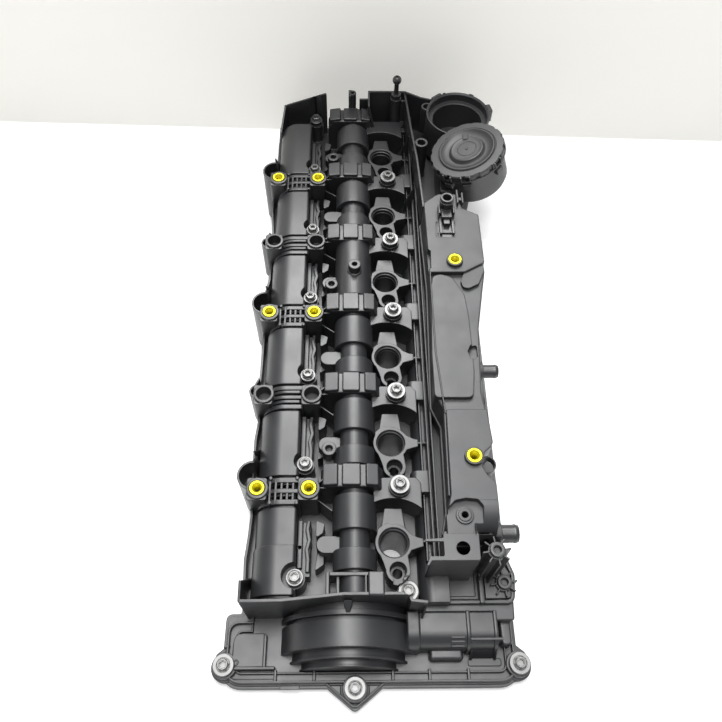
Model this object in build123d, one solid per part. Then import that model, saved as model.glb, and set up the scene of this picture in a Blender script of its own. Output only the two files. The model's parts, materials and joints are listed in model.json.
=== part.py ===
from build123d import *
import math
import os

# Valve cover of a six-cylinder diesel engine, with its oil separator and crankcase pressure regulator.
# Millimetres. X runs across the engine, Y along it from the timing end to the rear, Z up.
# The origin is cylinder 1's injector axis, in the face of the cylinder head.

# Rows along the engine
cylinders = 6
cylinder_pitch = 91.0
wall = 3.0
rib = 1.8

# Deck and sealing frame
flange_bottom = 1.0
flange_top = 8.0
flange_out = 4.0
deck_z = 34.0
left_x = -124.0
right_x = 98.0
front_wall_y = -46.0
rear_y = 537.0
screen_y = 529.0
rim_z = 50.0
rim_t = 2.5
front_wall_z = 76.0
front_wall_t = 2.6

# Timing end
front_left_x = -133.0
front_right_x = 101.0
front_edge_y = -102.0
front_floor_z = 11.0
front_rim_z = 17.0
front_corner_r = 14.0
arch_x = -38.0
arch_r = 58.0
arch_front_y = -80.0
arch_step_r = 47.0
arch_step_y = -90.0
drive_r = 15.0
drive_y = -60.0
drive_z = 22.0

# Gasket in its groove
gasket_w = 5.0
gasket_h = 4.0
gasket_inset = 3.5

# Left tunnel, with the saddles that cross it
tunnel_x0 = -119.0
tunnel_x1 = -82.0
tunnel_z = 70.0
tunnel_left_r = 22.0
tunnel_right_r = 3.0
tunnel_end_y = 505.0
tunnel_recess = 4.0
saddle_y = 43.0
saddle_l = 25.0
saddle_left_x = -116.0
saddle_right_x = -72.0
saddle_z = 77.0
band_l = 4.6
pocket_r = 13.0
pocket_t = 1.8
gusset_t = 1.3

# Threaded inserts
insert_r = 6.6
insert_bore_r = 2.6
insert_mouth_r = 4.2
insert_mouth_h = 1.6
insert_sides = 10
insert_l = 13.0
insert_proud = 0.8
boss_wall = 2.9

# Left cam tunnel over the camshaft: bearing drums, necks and lobe boxes
cam_x = -33.0
drum_r = 19.0
drum_z = 77.0
drum_y = 24.0
drum_l = 31.0
rear_drum_y = 75.0
rear_drum_l = 18.0
neck_r = 11.0
neck_z = 73.0
lobe_y = 54.5
lobe_l = 21.0
lobe_w = 47.0
lobe_z = 80.0
pad_w = 18.0
side_pad_w = 11.0
pad_gap = 2.6
pad_h = 3.0

# Right cam tunnel
right_cam_x0 = 21.0
right_cam_z = 50.0
right_lobe_x0 = 17.0
right_lobe_z = 62.0
channel_ribs = (31.5, 35.5)
channel_rib_z = 64.0

# Injector wells
injector_r = 11.0
injector_wall = 5.0
injector_z = 62.0
injector_seat_r = 12.6
injector_seat_h = 7.0
clamp_x = 2.8
clamp_dy = -23.0
clamp_r = 4.2
clamp_recess_r = 6.8
clamp_recess_h = 12.0
clamp_out_r = 10.5

# Screws that hold the cover down, each in a steel sleeve and a rubber grommet
screw_r = 3.0
sleeve_bore_r = 3.4
sleeve_t = 1.0
grommet_t = 1.6
grommet_l = 12.0
grommet_h = 4.0
washer_t = 1.5
head_af = 10.0
head_h = 5.5
screw_lift = 1.5
screw_sides = 8
left_screw_x = -77.0
left_screw_z = 61.0
left_washer_r = 7.2
front_left_screw = (-82.3, -28.4)
first_left_screw_y = 70.9
last_left_screw = (-77.3, 519.6)
right_screw_x = 5.9
right_screw_dy = -44.6
right_screw_z = 75.0
front_right_screw = (11.5, -36.5, 47.0)
right_washer_r = 8.6
front_screws = ((-141.0, -88.9), (-32.9, -107.0), (103.5, -89.1))
front_screw_z = 21.0
front_washer_r = 8.8
saddle_plate_z = 67.0
saddle_plate_arc = 37.0

# Oil separator on the right: plan of its front, middle and rear
sep_y0 = -5.0
sep_y1 = 343.0
sep_left = ((50.0, sep_y0), (41.0, 5.0), (45.0, 22.0), (46.0, 102.0), (38.0, 122.0), (42.0, 256.0), (39.6, sep_y1))
sep_rear = ((55.0, 356.0), (77.0, 356.0), (79.0, 336.5), (96.0, 328.0))
sep_right = ((96.0, 258.0), (84.0, 192.0), (80.0, 122.0), (82.3, 103.0), (84.0, 72.0), (75.0, 62.0), (73.0, 49.0))
sep_front = ((83.0, 36.0), (83.0, 13.0), (81.0, sep_y0))
sep_floor_z = 50.0
weld_z = 66.0
weld_bead = 1.5
weld_bead_h = 4.0
ledge = 2.0
lid_z = 105.0
lid_t = 2.6
recess_x0 = 43.0
recess_x1 = 77.0
recess_y0 = 126.0
recess_y1 = 238.0
recess_drop = 10.0
baffle_t = 2.0
nozzle_r = 3.0
drain_spots = ((62.0, 20.0), (62.0, 330.0))
drain_r = 4.0
front_nipple_r = 7.4
rear_nipple_r = 6.2
nipple_z = 79.0
nipple_t = 1.6
nipple_root_x = 76.0
nipple_seat_x = 86.0
nipple_step = 1.0
nipple_x = 101.0
front_nipple_y = 1.9
rear_nipple_y = 155.8
separator_insert_spots = ((66.0, 58.9), (66.0, 265.8))
separator_insert_z = 109.0
port_x = 61.3
port_y = 332.0

# Pressure regulator, tilted towards the cam tunnels
reg_x = 88.6
reg_y = 408.0
reg_z = 118.0
reg_tilt = 19.0
reg_r = 40.0
reg_wall = 3.0
reg_depth = 46.0
reg_step_h = 22.0
reg_step = 13.0
reg_floor_t = 4.0
cap_t = 3.0
cap_skirt = 7.0
diaphragm_t = 1.4
bead_h = 2.0
valve_plate_r = 15.0
valve_plate_t = 3.0
valve_plate_z = -9.0
valve_travel = 4.0
valve_gap = 0.3
spring_r = 11.0
spring_wire = 0.9
spring_turns = 4
outlet_r = 8.0
outlet_wall = 2.5

# Air duct socket behind the regulator
socket_x = 87.0
socket_y = 482.0
socket_z = 104.0
socket_r = 36.5
socket_wall = 3.0
socket_seat_r = 28.0
socket_seat_z = 94.0
socket_floor_z = 60.0

# Rear end
screen_t = 2.4
stud_x = 17.6
stud_y = 518.0
stud_z = 120.0
stud_ball_r = 5.2
stud_stem_r = 3.2
stud_foot_z = 96.0

injector_ys = [i * cylinder_pitch for i in range(cylinders)]
saddle_ys = [saddle_y + i * cylinder_pitch for i in range(cylinders - 1)]
insert_ys = saddle_ys[::2]
open_ys = saddle_ys[1::2]
left_screws = [front_left_screw]
left_screws += [(left_screw_x, first_left_screw_y + i * cylinder_pitch) for i in range(cylinders - 1)]
left_screws += [last_left_screw]
right_screws = [front_right_screw[:2]] + [(right_screw_x, y + right_screw_dy) for y in injector_ys[1:]]
right_zs = [front_right_screw[2]] + [right_screw_z] * (cylinders - 1)
sleeve_r = sleeve_bore_r + sleeve_t
grommet_r = sleeve_r + grommet_t
fit_gap = 0.05
screw_hole_r = grommet_r + fit_gap
column_r = screw_hole_r + 2.4


def block(x0, x1, y0, y1, z0, z1):
    """A box from its two corners."""
    return Pos((x0 + x1) / 2, (y0 + y1) / 2, (z0 + z1) / 2) * Box(x1 - x0, y1 - y0, z1 - z0)


def post(x, y, r, z0, z1, sides=0):
    """An upright cylinder, or a prism of the same area where a small round one repeats."""
    if not sides:
        return Pos(x, y, (z0 + z1) / 2) * Cylinder(r, z1 - z0)
    corner_r = r / math.sqrt(sides / (2 * math.pi) * math.sin(2 * math.pi / sides))
    return Pos(x, y, z0) * extrude(RegularPolygon(corner_r, sides), z1 - z0)


def ring(x, y, r_out, r_in, z0, z1, sides=0):
    """An upright tube."""
    return post(x, y, r_out, z0, z1, sides) - post(x, y, r_in, z0 - 1, z1 + 1, sides)


def polar(r, turn):
    """A point at a radius and an angle in degrees."""
    return r * math.cos(math.radians(turn)), r * math.sin(math.radians(turn))


def drawn_in(points, amount):
    """A polygon with every edge moved inwards by an amount, and its corners mitred."""
    twice_area = sum(p[0] * q[1] - q[0] * p[1] for p, q in zip(points, points[1:] + points[:1]))
    side = math.copysign(amount, twice_area)
    corners = []
    for before, here, after in zip(points[-1:] + points[:-1], points, points[1:] + points[:1]):
        first = math.atan2(here[1] - before[1], here[0] - before[0])
        second = math.atan2(after[1] - here[1], after[0] - here[0])
        half_turn = (second - first) / 2
        reach = side / math.cos(half_turn)
        middle = first + half_turn + math.pi / 2
        corners.append((here[0] + reach * math.cos(middle), here[1] + reach * math.sin(middle)))
    return corners


def slab(points, z0, z1, inset=0.0):
    """A polygon in plan between two heights, drawn in by an inset."""
    face = make_face(Polyline(*drawn_in(list(points), inset), close=True))
    return extrude(Pos(0, 0, z0) * face, z1 - z0)


def upright(points, y0, y1):
    """A polygon drawn in X and Z, carried along Y."""
    face = Plane.XZ * make_face(Polyline(*points, close=True))
    return Pos(0, y0, 0) * extrude(face, -(y1 - y0))


def quarter(r, inset):
    """The turns of a rounded corner, fewer of them on the hidden side."""
    steps = max(2, round(r / (9.0 if inset else 5.0)))
    return [math.pi / 2 * i / steps for i in range(steps + 1)]


def tunnel(x0, x1, y0, y1, z1, left_r, right_r, inset=0.0):
    """A bar along Y with rounded upper corners, drawn in by an inset."""
    x0 += inset
    x1 -= inset
    z1 -= inset
    left_r -= inset
    right_r = max(right_r - inset, 1.0)
    points = [(x1, foot(inset)), (x0, foot(inset))]
    for a in quarter(left_r, inset):
        points.append((x0 + left_r * (1 - math.cos(a)), z1 - left_r * (1 - math.sin(a))))
    for a in quarter(right_r, inset):
        points.append((x1 - right_r * (1 - math.sin(a)), z1 - right_r * (1 - math.cos(a))))
    return upright(points, y0 + inset, y1 - inset)


def lying(x, z, r, y0, y1):
    """A cylinder along Y."""
    return Pos(x, (y0 + y1) / 2, z) * Rot(90, 0, 0) * Cylinder(r, y1 - y0)


def across(y, z, r, x0, x1, sides=0):
    """A cylinder along X, or a prism of the same area."""
    return Pos(x0, y, z) * Rot(0, 90, 0) * post(0, 0, r, 0, x1 - x0, sides)


def fin(x0, y0, x1, y1, z0, z1, t):
    """A thin upright rib between two points in plan."""
    length = math.hypot(x1 - x0, y1 - y0)
    turn = math.degrees(math.atan2(y1 - y0, x1 - x0))
    return Pos((x0 + x1) / 2, (y0 + y1) / 2, (z0 + z1) / 2) * Rot(0, 0, turn) * Box(length, t, z1 - z0)


def fused(shapes):
    """One shape from several."""
    shapes = list(shapes)
    return shapes[0].fuse(*shapes[1:])


def foot(inset):
    """The lowest height of a volume: the flange, or below it for the space inside."""
    return flange_bottom - (10.0 if inset else 0.0)


def deck(inset):
    """The long deck of the cover."""
    return block(left_x + inset, right_x - inset, front_wall_y + inset, rear_y - inset, foot(inset), deck_z - inset)


def front_case(inset):
    """The timing end: a shallow tray that the arch rises from."""
    plan = Rectangle(front_right_x - front_left_x, front_wall_y - front_edge_y + 20)
    plan = fillet(plan.vertices().group_by(Axis.Y)[0], front_corner_r)
    if inset:
        plan = offset(plan, amount=-inset)
    middle_x = (front_right_x + front_left_x) / 2
    middle_y = (front_wall_y + front_edge_y + 20) / 2
    low = foot(inset)
    return extrude(Pos(middle_x, middle_y, low) * plan, front_floor_z - inset - low)


def arch(inset):
    """The half round over the chain wheels, with its step towards the front."""
    half = block(arch_x - 80, arch_x + 80, arch_step_y - 10, 0, foot(inset), 80)
    drum = lying(arch_x, 0, arch_r - inset, arch_front_y + inset, front_wall_y + 6)
    step = lying(arch_x, 0, arch_step_r - inset, arch_step_y + inset, front_wall_y + 6)
    return fused([drum, step]) & half


def drive_housing(inset):
    """The lying round housing at the right of the arch, and its foot."""
    barrel = across(drive_y, drive_z, drive_r - inset, 10, 72 - inset)
    base = block(10, 72 - inset, drive_y - drive_r + inset, front_wall_y + 6, foot(inset), drive_z)
    return fused([barrel, base])


def left_tunnel(inset):
    """The long tunnel on the left, lower where the saddles cross it."""
    low = tunnel_recess
    parts = [
        tunnel(
            tunnel_x0 + low - 1,
            tunnel_x1 - 1,
            front_wall_y,
            tunnel_end_y,
            tunnel_z - low,
            tunnel_left_r,
            tunnel_right_r,
            inset,
        )
    ]
    if inset:
        return parts[0]
    starts = [front_wall_y + 8] + [y + saddle_l / 2 + 1 for y in saddle_ys]
    ends = [y - saddle_l / 2 - 1 for y in saddle_ys] + [tunnel_end_y - 2]
    for start, end in zip(starts, ends):
        parts.append(tunnel(tunnel_x0, tunnel_x1, start, end, tunnel_z, tunnel_left_r, tunnel_right_r))
    return fused(parts)


def cam_tunnel(inset):
    """The tunnel over the left camshaft: drums at the bearings, boxes over the lobes."""
    neck = neck_r - 0.5
    parts = [tunnel(cam_x - neck_r, cam_x + neck_r, front_wall_y, screen_y, neck_z, neck, neck, inset)]
    for y in injector_ys:
        runs = [(y + drum_y, drum_l, drum_r), (y + rear_drum_y - cylinder_pitch, rear_drum_l, drum_r - 0.6)]
        for middle, length, r in runs:
            y0 = middle - length / 2
            parts.append(tunnel(cam_x - r, cam_x + r, y0, y0 + length, drum_z, r - 0.5, r - 0.5, inset))
        parts.append(lobe_box(y + lobe_y, inset))
    return fused(parts)


def screw_notches(inset):
    """The round notches that clear the washers of the lower screws."""
    shoulder = left_screw_z - grommet_h
    notches = [post(x, y, left_washer_r + 2.2 + inset, shoulder - inset, 100, 10) for x, y in left_screws]
    x, y, z = front_right_screw
    return notches + [post(x, y, right_washer_r + 0.6 + inset, z - grommet_h - inset, 100, 12)]


def lobe_box(y, inset):
    """The faceted box over one cylinder's lobes."""
    half = lobe_w / 2 - inset
    top = lobe_z - pad_h - inset
    points = [
        (cam_x - half, foot(inset)),
        (cam_x - half, top - 14),
        (cam_x - half + 7, top),
        (cam_x + half - 7, top),
        (cam_x + half, top - 14),
        (cam_x + half, foot(inset)),
    ]
    return upright(points, y - lobe_l / 2 + inset, y + lobe_l / 2 - inset)


def lobe_pads(y):
    """The three raised pads on top of a lobe box."""
    low = lobe_z - pad_h - 6
    side_x = pad_w / 2 + pad_gap + side_pad_w / 2
    parts = []
    for x, width in ((-side_x, side_pad_w), (0, pad_w), (side_x, side_pad_w)):
        pad = block(cam_x + x - width / 2, cam_x + x + width / 2, y - 10, y + 10, low, lobe_z)
        parts.append(chamfer(pad.edges().group_by(Axis.Z)[-1], 1.6))
    return parts


def right_tunnel(inset):
    """The tunnel over the right camshaft, under the separator's left wall."""
    parts = [
        tunnel(right_cam_x0, 46, front_wall_y, rear_y, right_cam_z, 12, 0.5, inset),
        block(30, right_x - inset, sep_y0 + inset, rear_y - inset, foot(inset), sep_floor_z - inset),
    ]
    for y in injector_ys:
        y0 = y + lobe_y - lobe_l / 2
        parts.append(tunnel(right_lobe_x0, 33, y0, y0 + lobe_l, right_lobe_z, 7, 2.5, inset))
    return fused(parts)


def separator_plan(z0, z1, inset=0.0):
    """The separator's outline in plan, between two heights."""
    return slab(sep_left + sep_rear + sep_right + sep_front, z0, z1, inset)


def saddle_plate(y, inset):
    """The flat plate at a right screw, cut round the injector in front of it."""
    points = [(-17, y + 20), (-17, y + 43), (-9, y + 56), (21, y + 56), (25, y + 51), (25, y + 18)]
    plate = slab(points, foot(inset), saddle_plate_z - inset, inset)
    return plate - post(0, y, saddle_plate_arc + inset, foot(inset) - 1, saddle_plate_z + 1, 28)


def tilted(shape):
    """Puts a shape drawn round the Z axis at the regulator, with Z along its axis."""
    return Pos(reg_x, reg_y, reg_z) * Rot(0, -reg_tilt, 0) * shape


def volumes(inset):
    """All hollow volumes of the cover."""
    parts = [deck(inset), front_case(inset), arch(inset), drive_housing(inset)]
    parts += [left_tunnel(inset), cam_tunnel(inset), right_tunnel(inset)]
    parts += [saddle_plate(y, inset) for y in injector_ys]
    return fused(parts).cut(*screw_notches(inset))


def injector_plate(y):
    """The scalloped top of an injector well, with the ear on its right."""
    r = injector_r + injector_wall
    small = clamp_out_r
    outline = [polar(r, turn) for turn in (35, 55, 75, 95)]
    outline += [polar(r + 1.5, turn) for turn in (112, 138)] + [polar(r, turn) for turn in (160, 180, 200, 220)]
    outline += [(clamp_x + x, clamp_dy + z) for x, z in (polar(small, turn) for turn in (170, 205, 240, 270, 300, 335, 10))]
    outline += [polar(r, -35), (17, -5), (25, -3), (25, 3), (17, 4)]
    return extrude(Pos(0, y, deck_z - 1) * make_face(Polyline(*outline, close=True)), injector_z - deck_z + 1)


def columns():
    """What stands in the space under the cover: wells and screw columns."""
    parts = []
    for y in injector_ys:
        parts.append(post(0, y, injector_r + injector_wall - 1, flange_bottom, injector_z - 1, 14))
        parts.append(post(clamp_x, y + clamp_dy, clamp_recess_r + 2.4, flange_bottom, injector_z - 1, 8))
    for x, y in left_screws:
        parts.append(post(x, y, column_r, flange_bottom, left_screw_z - grommet_h, 8))
    for (x, y), z in zip(right_screws, right_zs):
        parts.append(post(x, y, column_r + 1, flange_bottom, z - grommet_h, 8))
    return parts


def saddle_bosses():
    """The boss pairs and bands of the saddles."""
    parts = []
    boss_r = insert_r + boss_wall
    for y in saddle_ys:
        for x in (saddle_left_x, saddle_right_x):
            parts.append(post(x, y, boss_r, deck_z - 2, saddle_z, insert_sides))
            parts.append(block(x - boss_r, x + 7, y - 8, y + 8, deck_z - 2, saddle_z - 3))
        for step in (-1, 0, 1):
            y0 = y + step * (saddle_l - band_l) / 2 - band_l / 2
            parts.append(
                tunnel(tunnel_x0 + 1, tunnel_x1 + 3, y0, y0 + band_l, tunnel_z - 0.6, tunnel_left_r, tunnel_right_r)
            )
    return parts


def rim():
    """The upright wall along the left edge, with its pockets and hooks."""
    parts = [block(left_x - 0.5, left_x + rim_t, front_wall_y, rear_y, deck_z - 4, rim_z)]
    for y in insert_ys:
        cx = saddle_left_x - 5.5
        pocket = ring(cx, y + 12, pocket_r, pocket_r - pocket_t, flange_top, saddle_z - 4, 16)
        keep = block(cx - 20, cx - 1, y - 6, y + 30, 0, 90)
        parts.append(pocket & keep)
        parts.append(fin(cx - 2, y + 12 + pocket_r - 1, cx + 1.5, y + 12 + pocket_r + 9, deck_z, saddle_z - 8, pocket_t))
    for y in open_ys:
        hook = ring(saddle_left_x - 9, y + 14, 7, 7 - pocket_t, flange_top, rim_z + 8, 10)
        parts.append(hook & block(saddle_left_x - 20, saddle_left_x - 8, y, y + 30, 0, 90))
        parts.append(fin(saddle_left_x - 9, y + 20, left_x + 1, y + 28, deck_z - 4, rim_z + 4, pocket_t))
    return parts


def gussets():
    """The thin ribs that brace each saddle against the cam tunnel."""
    parts = []
    for y in saddle_ys:
        x = saddle_right_x + insert_r
        parts.append(fin(x, y + 1.5, cam_x - 8, y + 1.5, deck_z - 1, saddle_z - 6, gusset_t))
        parts.append(fin(x - 1, y + 5, x + 7, y + 11, deck_z - 1, saddle_z - 10, gusset_t))
        parts.append(fin(x - 1, y - 5, x + 12, y - 18, deck_z - 1, saddle_z - 16, gusset_t))
    return parts


def side_bars():
    """The raised bars between the left tunnel and the cam tunnel."""
    parts = []
    for x, y in left_screws[:-1]:
        start = y + column_r - 1
        end = y + 42
        parts.append(block(-81.5, -77.0, start, end, deck_z - 1, rim_z))
        parts.append(block(-73.5, -69.5, start - 12, end + 2, deck_z - 1, rim_z))
        parts.append(block(-66.5, -62.0, end - 2, end + 14, deck_z - 1, rim_z + 4))
    return parts


def front_box():
    """The open box at the front end of the cam tunnel, with rings round its bore."""
    half = lobe_w / 2
    y0 = front_wall_y
    box = block(cam_x - half, cam_x + half, y0, y0 + 19, deck_z - 1, lobe_z - 4)
    box -= block(cam_x - half + 2.5, cam_x + half - 13, y0 - 1, y0 + 16.5, 50, lobe_z)
    barrel = ring(cam_x, y0 + 8, 9, 6, 49, 66, 12)
    return [box, barrel]


def neck_bosses():
    """The rounded side bosses beside the necks."""
    parts = []
    for i, y in enumerate(injector_ys):
        parts.append(block(-58, cam_x, y - 8, y + 5, deck_z - 1, 60))
        parts.append(post(-58, y - 1.5, 6.5, deck_z - 1, 60, 10))
        if i % 2 == 1:
            parts.append(post(-55, y - 11, 5.6, deck_z - 1, 70, 8))
    return parts


def front_wall():
    """The upright screen between the timing end and the tunnels."""
    t = front_wall_t
    plan = [(-123, -50), (-90, -49.5), (-42, -45), (11.5, -45), (24.5, -49.5), (21.5, -56), (30, -61)]
    back = [(x, y + t) for x, y in reversed(plan)]
    points = plan[:5] + back[2:]
    screen = slab(points, flange_top, front_wall_z)
    low_end = slab([(11.5, -47.8), (24.5, -52), (27, -50), (13, -44)], flange_top, front_wall_z - 7)
    curl = fin(24.5, -50, 22, -57, flange_top, front_wall_z - 7, t)
    spike = upright([(-123, deck_z - 4), (-123, front_wall_z + 2), (-121.5, front_wall_z + 2), (-116, deck_z - 4)], -50, -34)
    left_end = block(left_x - 0.5, left_x + rim_t, -50, front_wall_y + 2, flange_top, front_wall_z)
    return [screen, low_end, curl, left_end, spike & block(-126, -110, -50, -30, 0, 100)]


def timing_end():
    """The flange rim, ribs, ears and panels of the timing end."""
    x0 = front_left_x
    x1 = front_right_x
    y0 = front_edge_y
    outer = Rectangle(x1 - x0, 70)
    outer = fillet(outer.vertices().group_by(Axis.Y)[0], front_corner_r)
    inner = offset(outer, amount=-rib)
    place = Pos((x0 + x1) / 2, y0 + 35, flange_bottom)
    lip = extrude(place * offset(outer, amount=flange_out), flange_top - flange_bottom)
    low_wall = extrude(Pos(0, 7.5, 0) * place * (outer - inner), front_rim_z - flange_bottom)
    half = block(x0 - 20, x1 + 20, y0 - 10, front_wall_y - 2, 0, 100)
    parts = [lip & half, low_wall & half]
    for x in (-104, -66, 6, 39, 70):
        parts.append(block(x - 1, x + 1, y0 + 1, y0 + 10, flange_top - 1, front_rim_z))
    parts.append(block(-128, -104, -92, -64, front_floor_z - 1, front_floor_z + 6))
    for x, y in front_screws:
        parts.append(post(x, y, column_r + 2.6, flange_bottom, front_screw_z - grommet_h, 12))
    mid_x, mid_y = front_screws[1]
    parts.append(slab([(mid_x - 25, y0 + 2), (mid_x, mid_y - 14), (mid_x + 25, y0 + 2)], flange_bottom, flange_top + 3))
    hood = block(62, 88, -84, -66, front_floor_z - 1, 34) - block(64, 86, -81, -60, front_floor_z + 4, 40)
    parts.append(hood)
    parts.append(block(41, 43, -76, front_wall_y, flange_top, drive_z + drive_r + 2))
    parts.append(block(66, 68, -76, front_wall_y, flange_top, drive_z + drive_r + 2))
    return parts


def star_boss(x, y, z0, z1, ribs=8):
    """A hollow boss with radial ribs round it."""
    parts = [post(x, y, 5.6, z0, z1, 8)]
    for i in range(ribs):
        a = math.radians(i * 360 / ribs + 12)
        parts.append(fin(x, y, x + 10 * math.cos(a), y + 10 * math.sin(a), z0, z1 - 2, 1.3))
    return parts


def front_corner():
    """The tray, the bracket and the bosses at the separator's front end."""
    tray = block(34, 102, -47, sep_y0 + 2, 6, 38)
    tray = fillet(tray.edges().filter_by(Axis.Z).group_by(Axis.Y)[0], 8)
    pocket = block(38.5, 74, -42, -16, 32, 60)
    pocket = fillet(pocket.edges().filter_by(Axis.Z).group_by(Axis.Y)[0], 6)
    pad = block(43, 67, -38.5, -16, 10, 36)
    parts = [tray - pocket, pad]
    parts += star_boss(93, -29, 34, 44)
    parts += star_boss(78.5, -17, 34, 100)
    plate = slab([(28, -7), (65, -7), (65, -26), (24, -27)], 97.5, 100)
    plate -= slab([(32, -11), (43, -11), (43, -22.5), (30, -22.5)], 90, 105)
    plate -= post(51.7, -15.7, 5.4, 90, 105)
    apron = slab([(26, -24.4), (65, -23.6), (65, -26), (24, -27)], 62, 100)
    left_leg = fin(29, -8, 26.5, -24, 62, 99, 2)
    post_leg = block(61, 65, -26, sep_y0 - 2, 30, 99)
    parts += [plate, apron, left_leg, post_leg]
    parts.append(block(26, 46, -16, sep_y0 - 2, right_cam_z - 4, 64))
    return parts


def rear_end():
    """The upright screens and the stud post at the rear."""
    y1 = screen_y
    y0 = y1 - screen_t
    parts = [
        upright([(-118, 20), (-118, 74), (-64, 94), (-64, 20)], y0, y1),
        block(-38, -29, y0 - 6, y1, 20, 98),
        upright([(-14, 20), (-14, 96), (29, 96), (29, 20)], y0, y1),
        block(left_x - 0.5, left_x + rim_t, 490, y1, 20, 74),
    ]
    x = right_cam_x0 + 6
    long_wall = [(x, y1), (x + 2.4, y1), (41.5, sep_y1 + 2), (39, sep_y1 + 2)]
    parts.append(slab(long_wall, right_cam_z - 4, stud_foot_z - 1))
    parts.append(post(stud_x, stud_y, 6.5, 20, stud_foot_z, 12))
    parts.append(block(stud_x - 5, x + 1, stud_y - 2, y1, 20, stud_foot_z - 4))
    parts.append(ring(43, 441, 7, 4.5, right_cam_z, 98, 10))
    parts.append(block(x + 5, 41, 428, 436, right_cam_z, 92))
    return parts


def screw_holes():
    """The holes for the grommets and sleeves."""
    spots = list(left_screws) + list(right_screws) + list(front_screws)
    return [post(x, y, screw_hole_r, -5, 120, screw_sides) for x, y in spots]


def insert_holes():
    """The seats of the threaded inserts, and the open holes of the plain saddles."""
    parts = []
    for y in saddle_ys:
        for x in (saddle_left_x, saddle_right_x):
            parts.append(post(x, y, insert_r + fit_gap, saddle_z + insert_proud - insert_l, saddle_z + 5, insert_sides))
    return parts


def breather_housing():
    """The moulding behind the separator: the regulator's tilted bowl and the cup for the air duct."""
    rim_low = -cap_t - bead_h
    bowl_r = reg_r - 3
    cup = post(socket_x, socket_y, socket_r, socket_floor_z - wall, socket_z, 32)
    cup += block(60, right_x - 2, socket_y - 28, socket_y + 28, sep_floor_z, socket_floor_z - 1)
    trunk = block(62, right_x - 2, reg_y - 28, reg_y + 50, sep_floor_z, reg_z - 34)
    bowl = tilted(post(0, 0, bowl_r, -reg_depth, rim_low, 28))
    housing = cup + trunk - tilted(post(0, 0, bowl_r - 1, -reg_depth + 1, 40, 28))
    housing -= post(socket_x, socket_y, socket_r - socket_wall, socket_seat_z, socket_z + 1, 32)
    housing -= tilted(post(0, 0, reg_r + 1.5, -cap_skirt - 2, 40, 28))
    housing += bowl
    housing -= post(socket_x, socket_y, socket_seat_r, socket_floor_z, socket_z + 1)
    housing -= tilted(post(0, 0, bowl_r - reg_wall, -reg_depth + reg_step_h, 1, 28))
    housing -= tilted(post(0, 0, bowl_r - reg_step, -reg_depth + reg_floor_t, 1, 20))
    outlet_top = valve_plate_z - valve_plate_t - valve_travel - valve_gap
    housing += tilted(ring(0, 0, outlet_r, outlet_r - outlet_wall, -reg_depth + reg_floor_t - 1, outlet_top, 12))
    for turn in (120, 330):
        housing += Pos(socket_x, socket_y, socket_z - 4) * Rot(0, 0, turn) * Pos(socket_r + 1, 0, 0) * Box(6, 12, 8)
    return housing


def seal_plan(inset):
    """The cover's footprint in plan, drawn in by an inset."""
    deck_plan = Pos((left_x + right_x) / 2, (front_wall_y + rear_y) / 2)
    deck_plan *= Rectangle(right_x - left_x, rear_y - front_wall_y)
    front = Rectangle(front_right_x - front_left_x, front_wall_y - front_edge_y + 20)
    front = fillet(front.vertices().group_by(Axis.Y)[0], front_corner_r)
    front = Pos((front_left_x + front_right_x) / 2, (front_wall_y + front_edge_y + 20) / 2) * front
    return offset(deck_plan + front, amount=-inset, kind=Kind.INTERSECTION)


def flange():
    """The flange round the foot of the cover, with the gasket's groove."""
    plan = seal_plan(-flange_out) - seal_plan(gasket_inset + gasket_w + 1.5)
    groove = seal_plan(gasket_inset - fit_gap) - seal_plan(gasket_inset + gasket_w + fit_gap)
    ring_solid = extrude(Pos(0, 0, flange_bottom) * plan, flange_top - flange_bottom)
    return ring_solid, extrude(groove, gasket_h + fit_gap)


def perimeter_gasket():
    """The rubber gasket in the flange's groove."""
    plan = seal_plan(gasket_inset) - seal_plan(gasket_inset + gasket_w)
    return extrude(plan, gasket_h)


def injector_seals():
    """The rubber rings at the feet of the injector wells."""
    return [ring(0, y, injector_r + 3.2, injector_r + 1.2, 0, 2.5, 10) for y in injector_ys]


def well_holes():
    """The injector bores with their stepped mouths, and the clamp screw holes."""
    parts = []
    for y in injector_ys:
        bore_sides = 18 if y else 0
        parts.append(post(0, y, injector_r, -5, injector_z + 5, bore_sides))
        parts.append(post(0, y, injector_seat_r, injector_z - injector_seat_h, injector_z + 5, 18))
        parts.append(ring(0, y, injector_r + 3.2 + fit_gap, injector_r + 1.2 - fit_gap, 0, 2.5 + fit_gap, 10))
        parts.append(post(clamp_x, y + clamp_dy, clamp_r, -5, injector_z + 5, 8))
        parts.append(post(clamp_x, y + clamp_dy, clamp_recess_r, injector_z - clamp_recess_h, injector_z + 5, 8))
    return parts


def cover_body():
    """The moulded cover."""
    bumps = [injector_plate(y) for y in injector_ys]
    bumps += [pad for y in injector_ys for pad in lobe_pads(y + lobe_y)]
    bumps += saddle_bosses() + rim() + gussets() + side_bars() + neck_bosses() + front_box()
    bumps += front_wall() + timing_end() + front_corner() + rear_end()
    bumps += [block(x, x + rib, -20, rear_y - 8, right_cam_z - 2, channel_rib_z) for x in channel_ribs]
    shell = volumes(0.0).fuse(*bumps)
    shell -= volumes(wall)
    trough = separator_plan(sep_floor_z - 1, weld_z) - separator_plan(sep_floor_z, weld_z + 1, wall + ledge)
    rim_ring, groove = flange()
    shell = shell.fuse(rim_ring, trough, *columns())
    shell -= separator_plan(sep_floor_z, weld_z + 0.5, wall + ledge)
    holes = well_holes() + screw_holes() + insert_holes() + screw_notches(0.0) + [groove]
    holes.append(post(stud_x, stud_y, stud_stem_r + fit_gap, stud_foot_z - 12, stud_foot_z + 1, 8))
    holes += [post(x, y, drain_r, sep_floor_z - 10, sep_floor_z + 10, 10) for x, y in drain_spots]
    return shell.cut(*holes)


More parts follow.
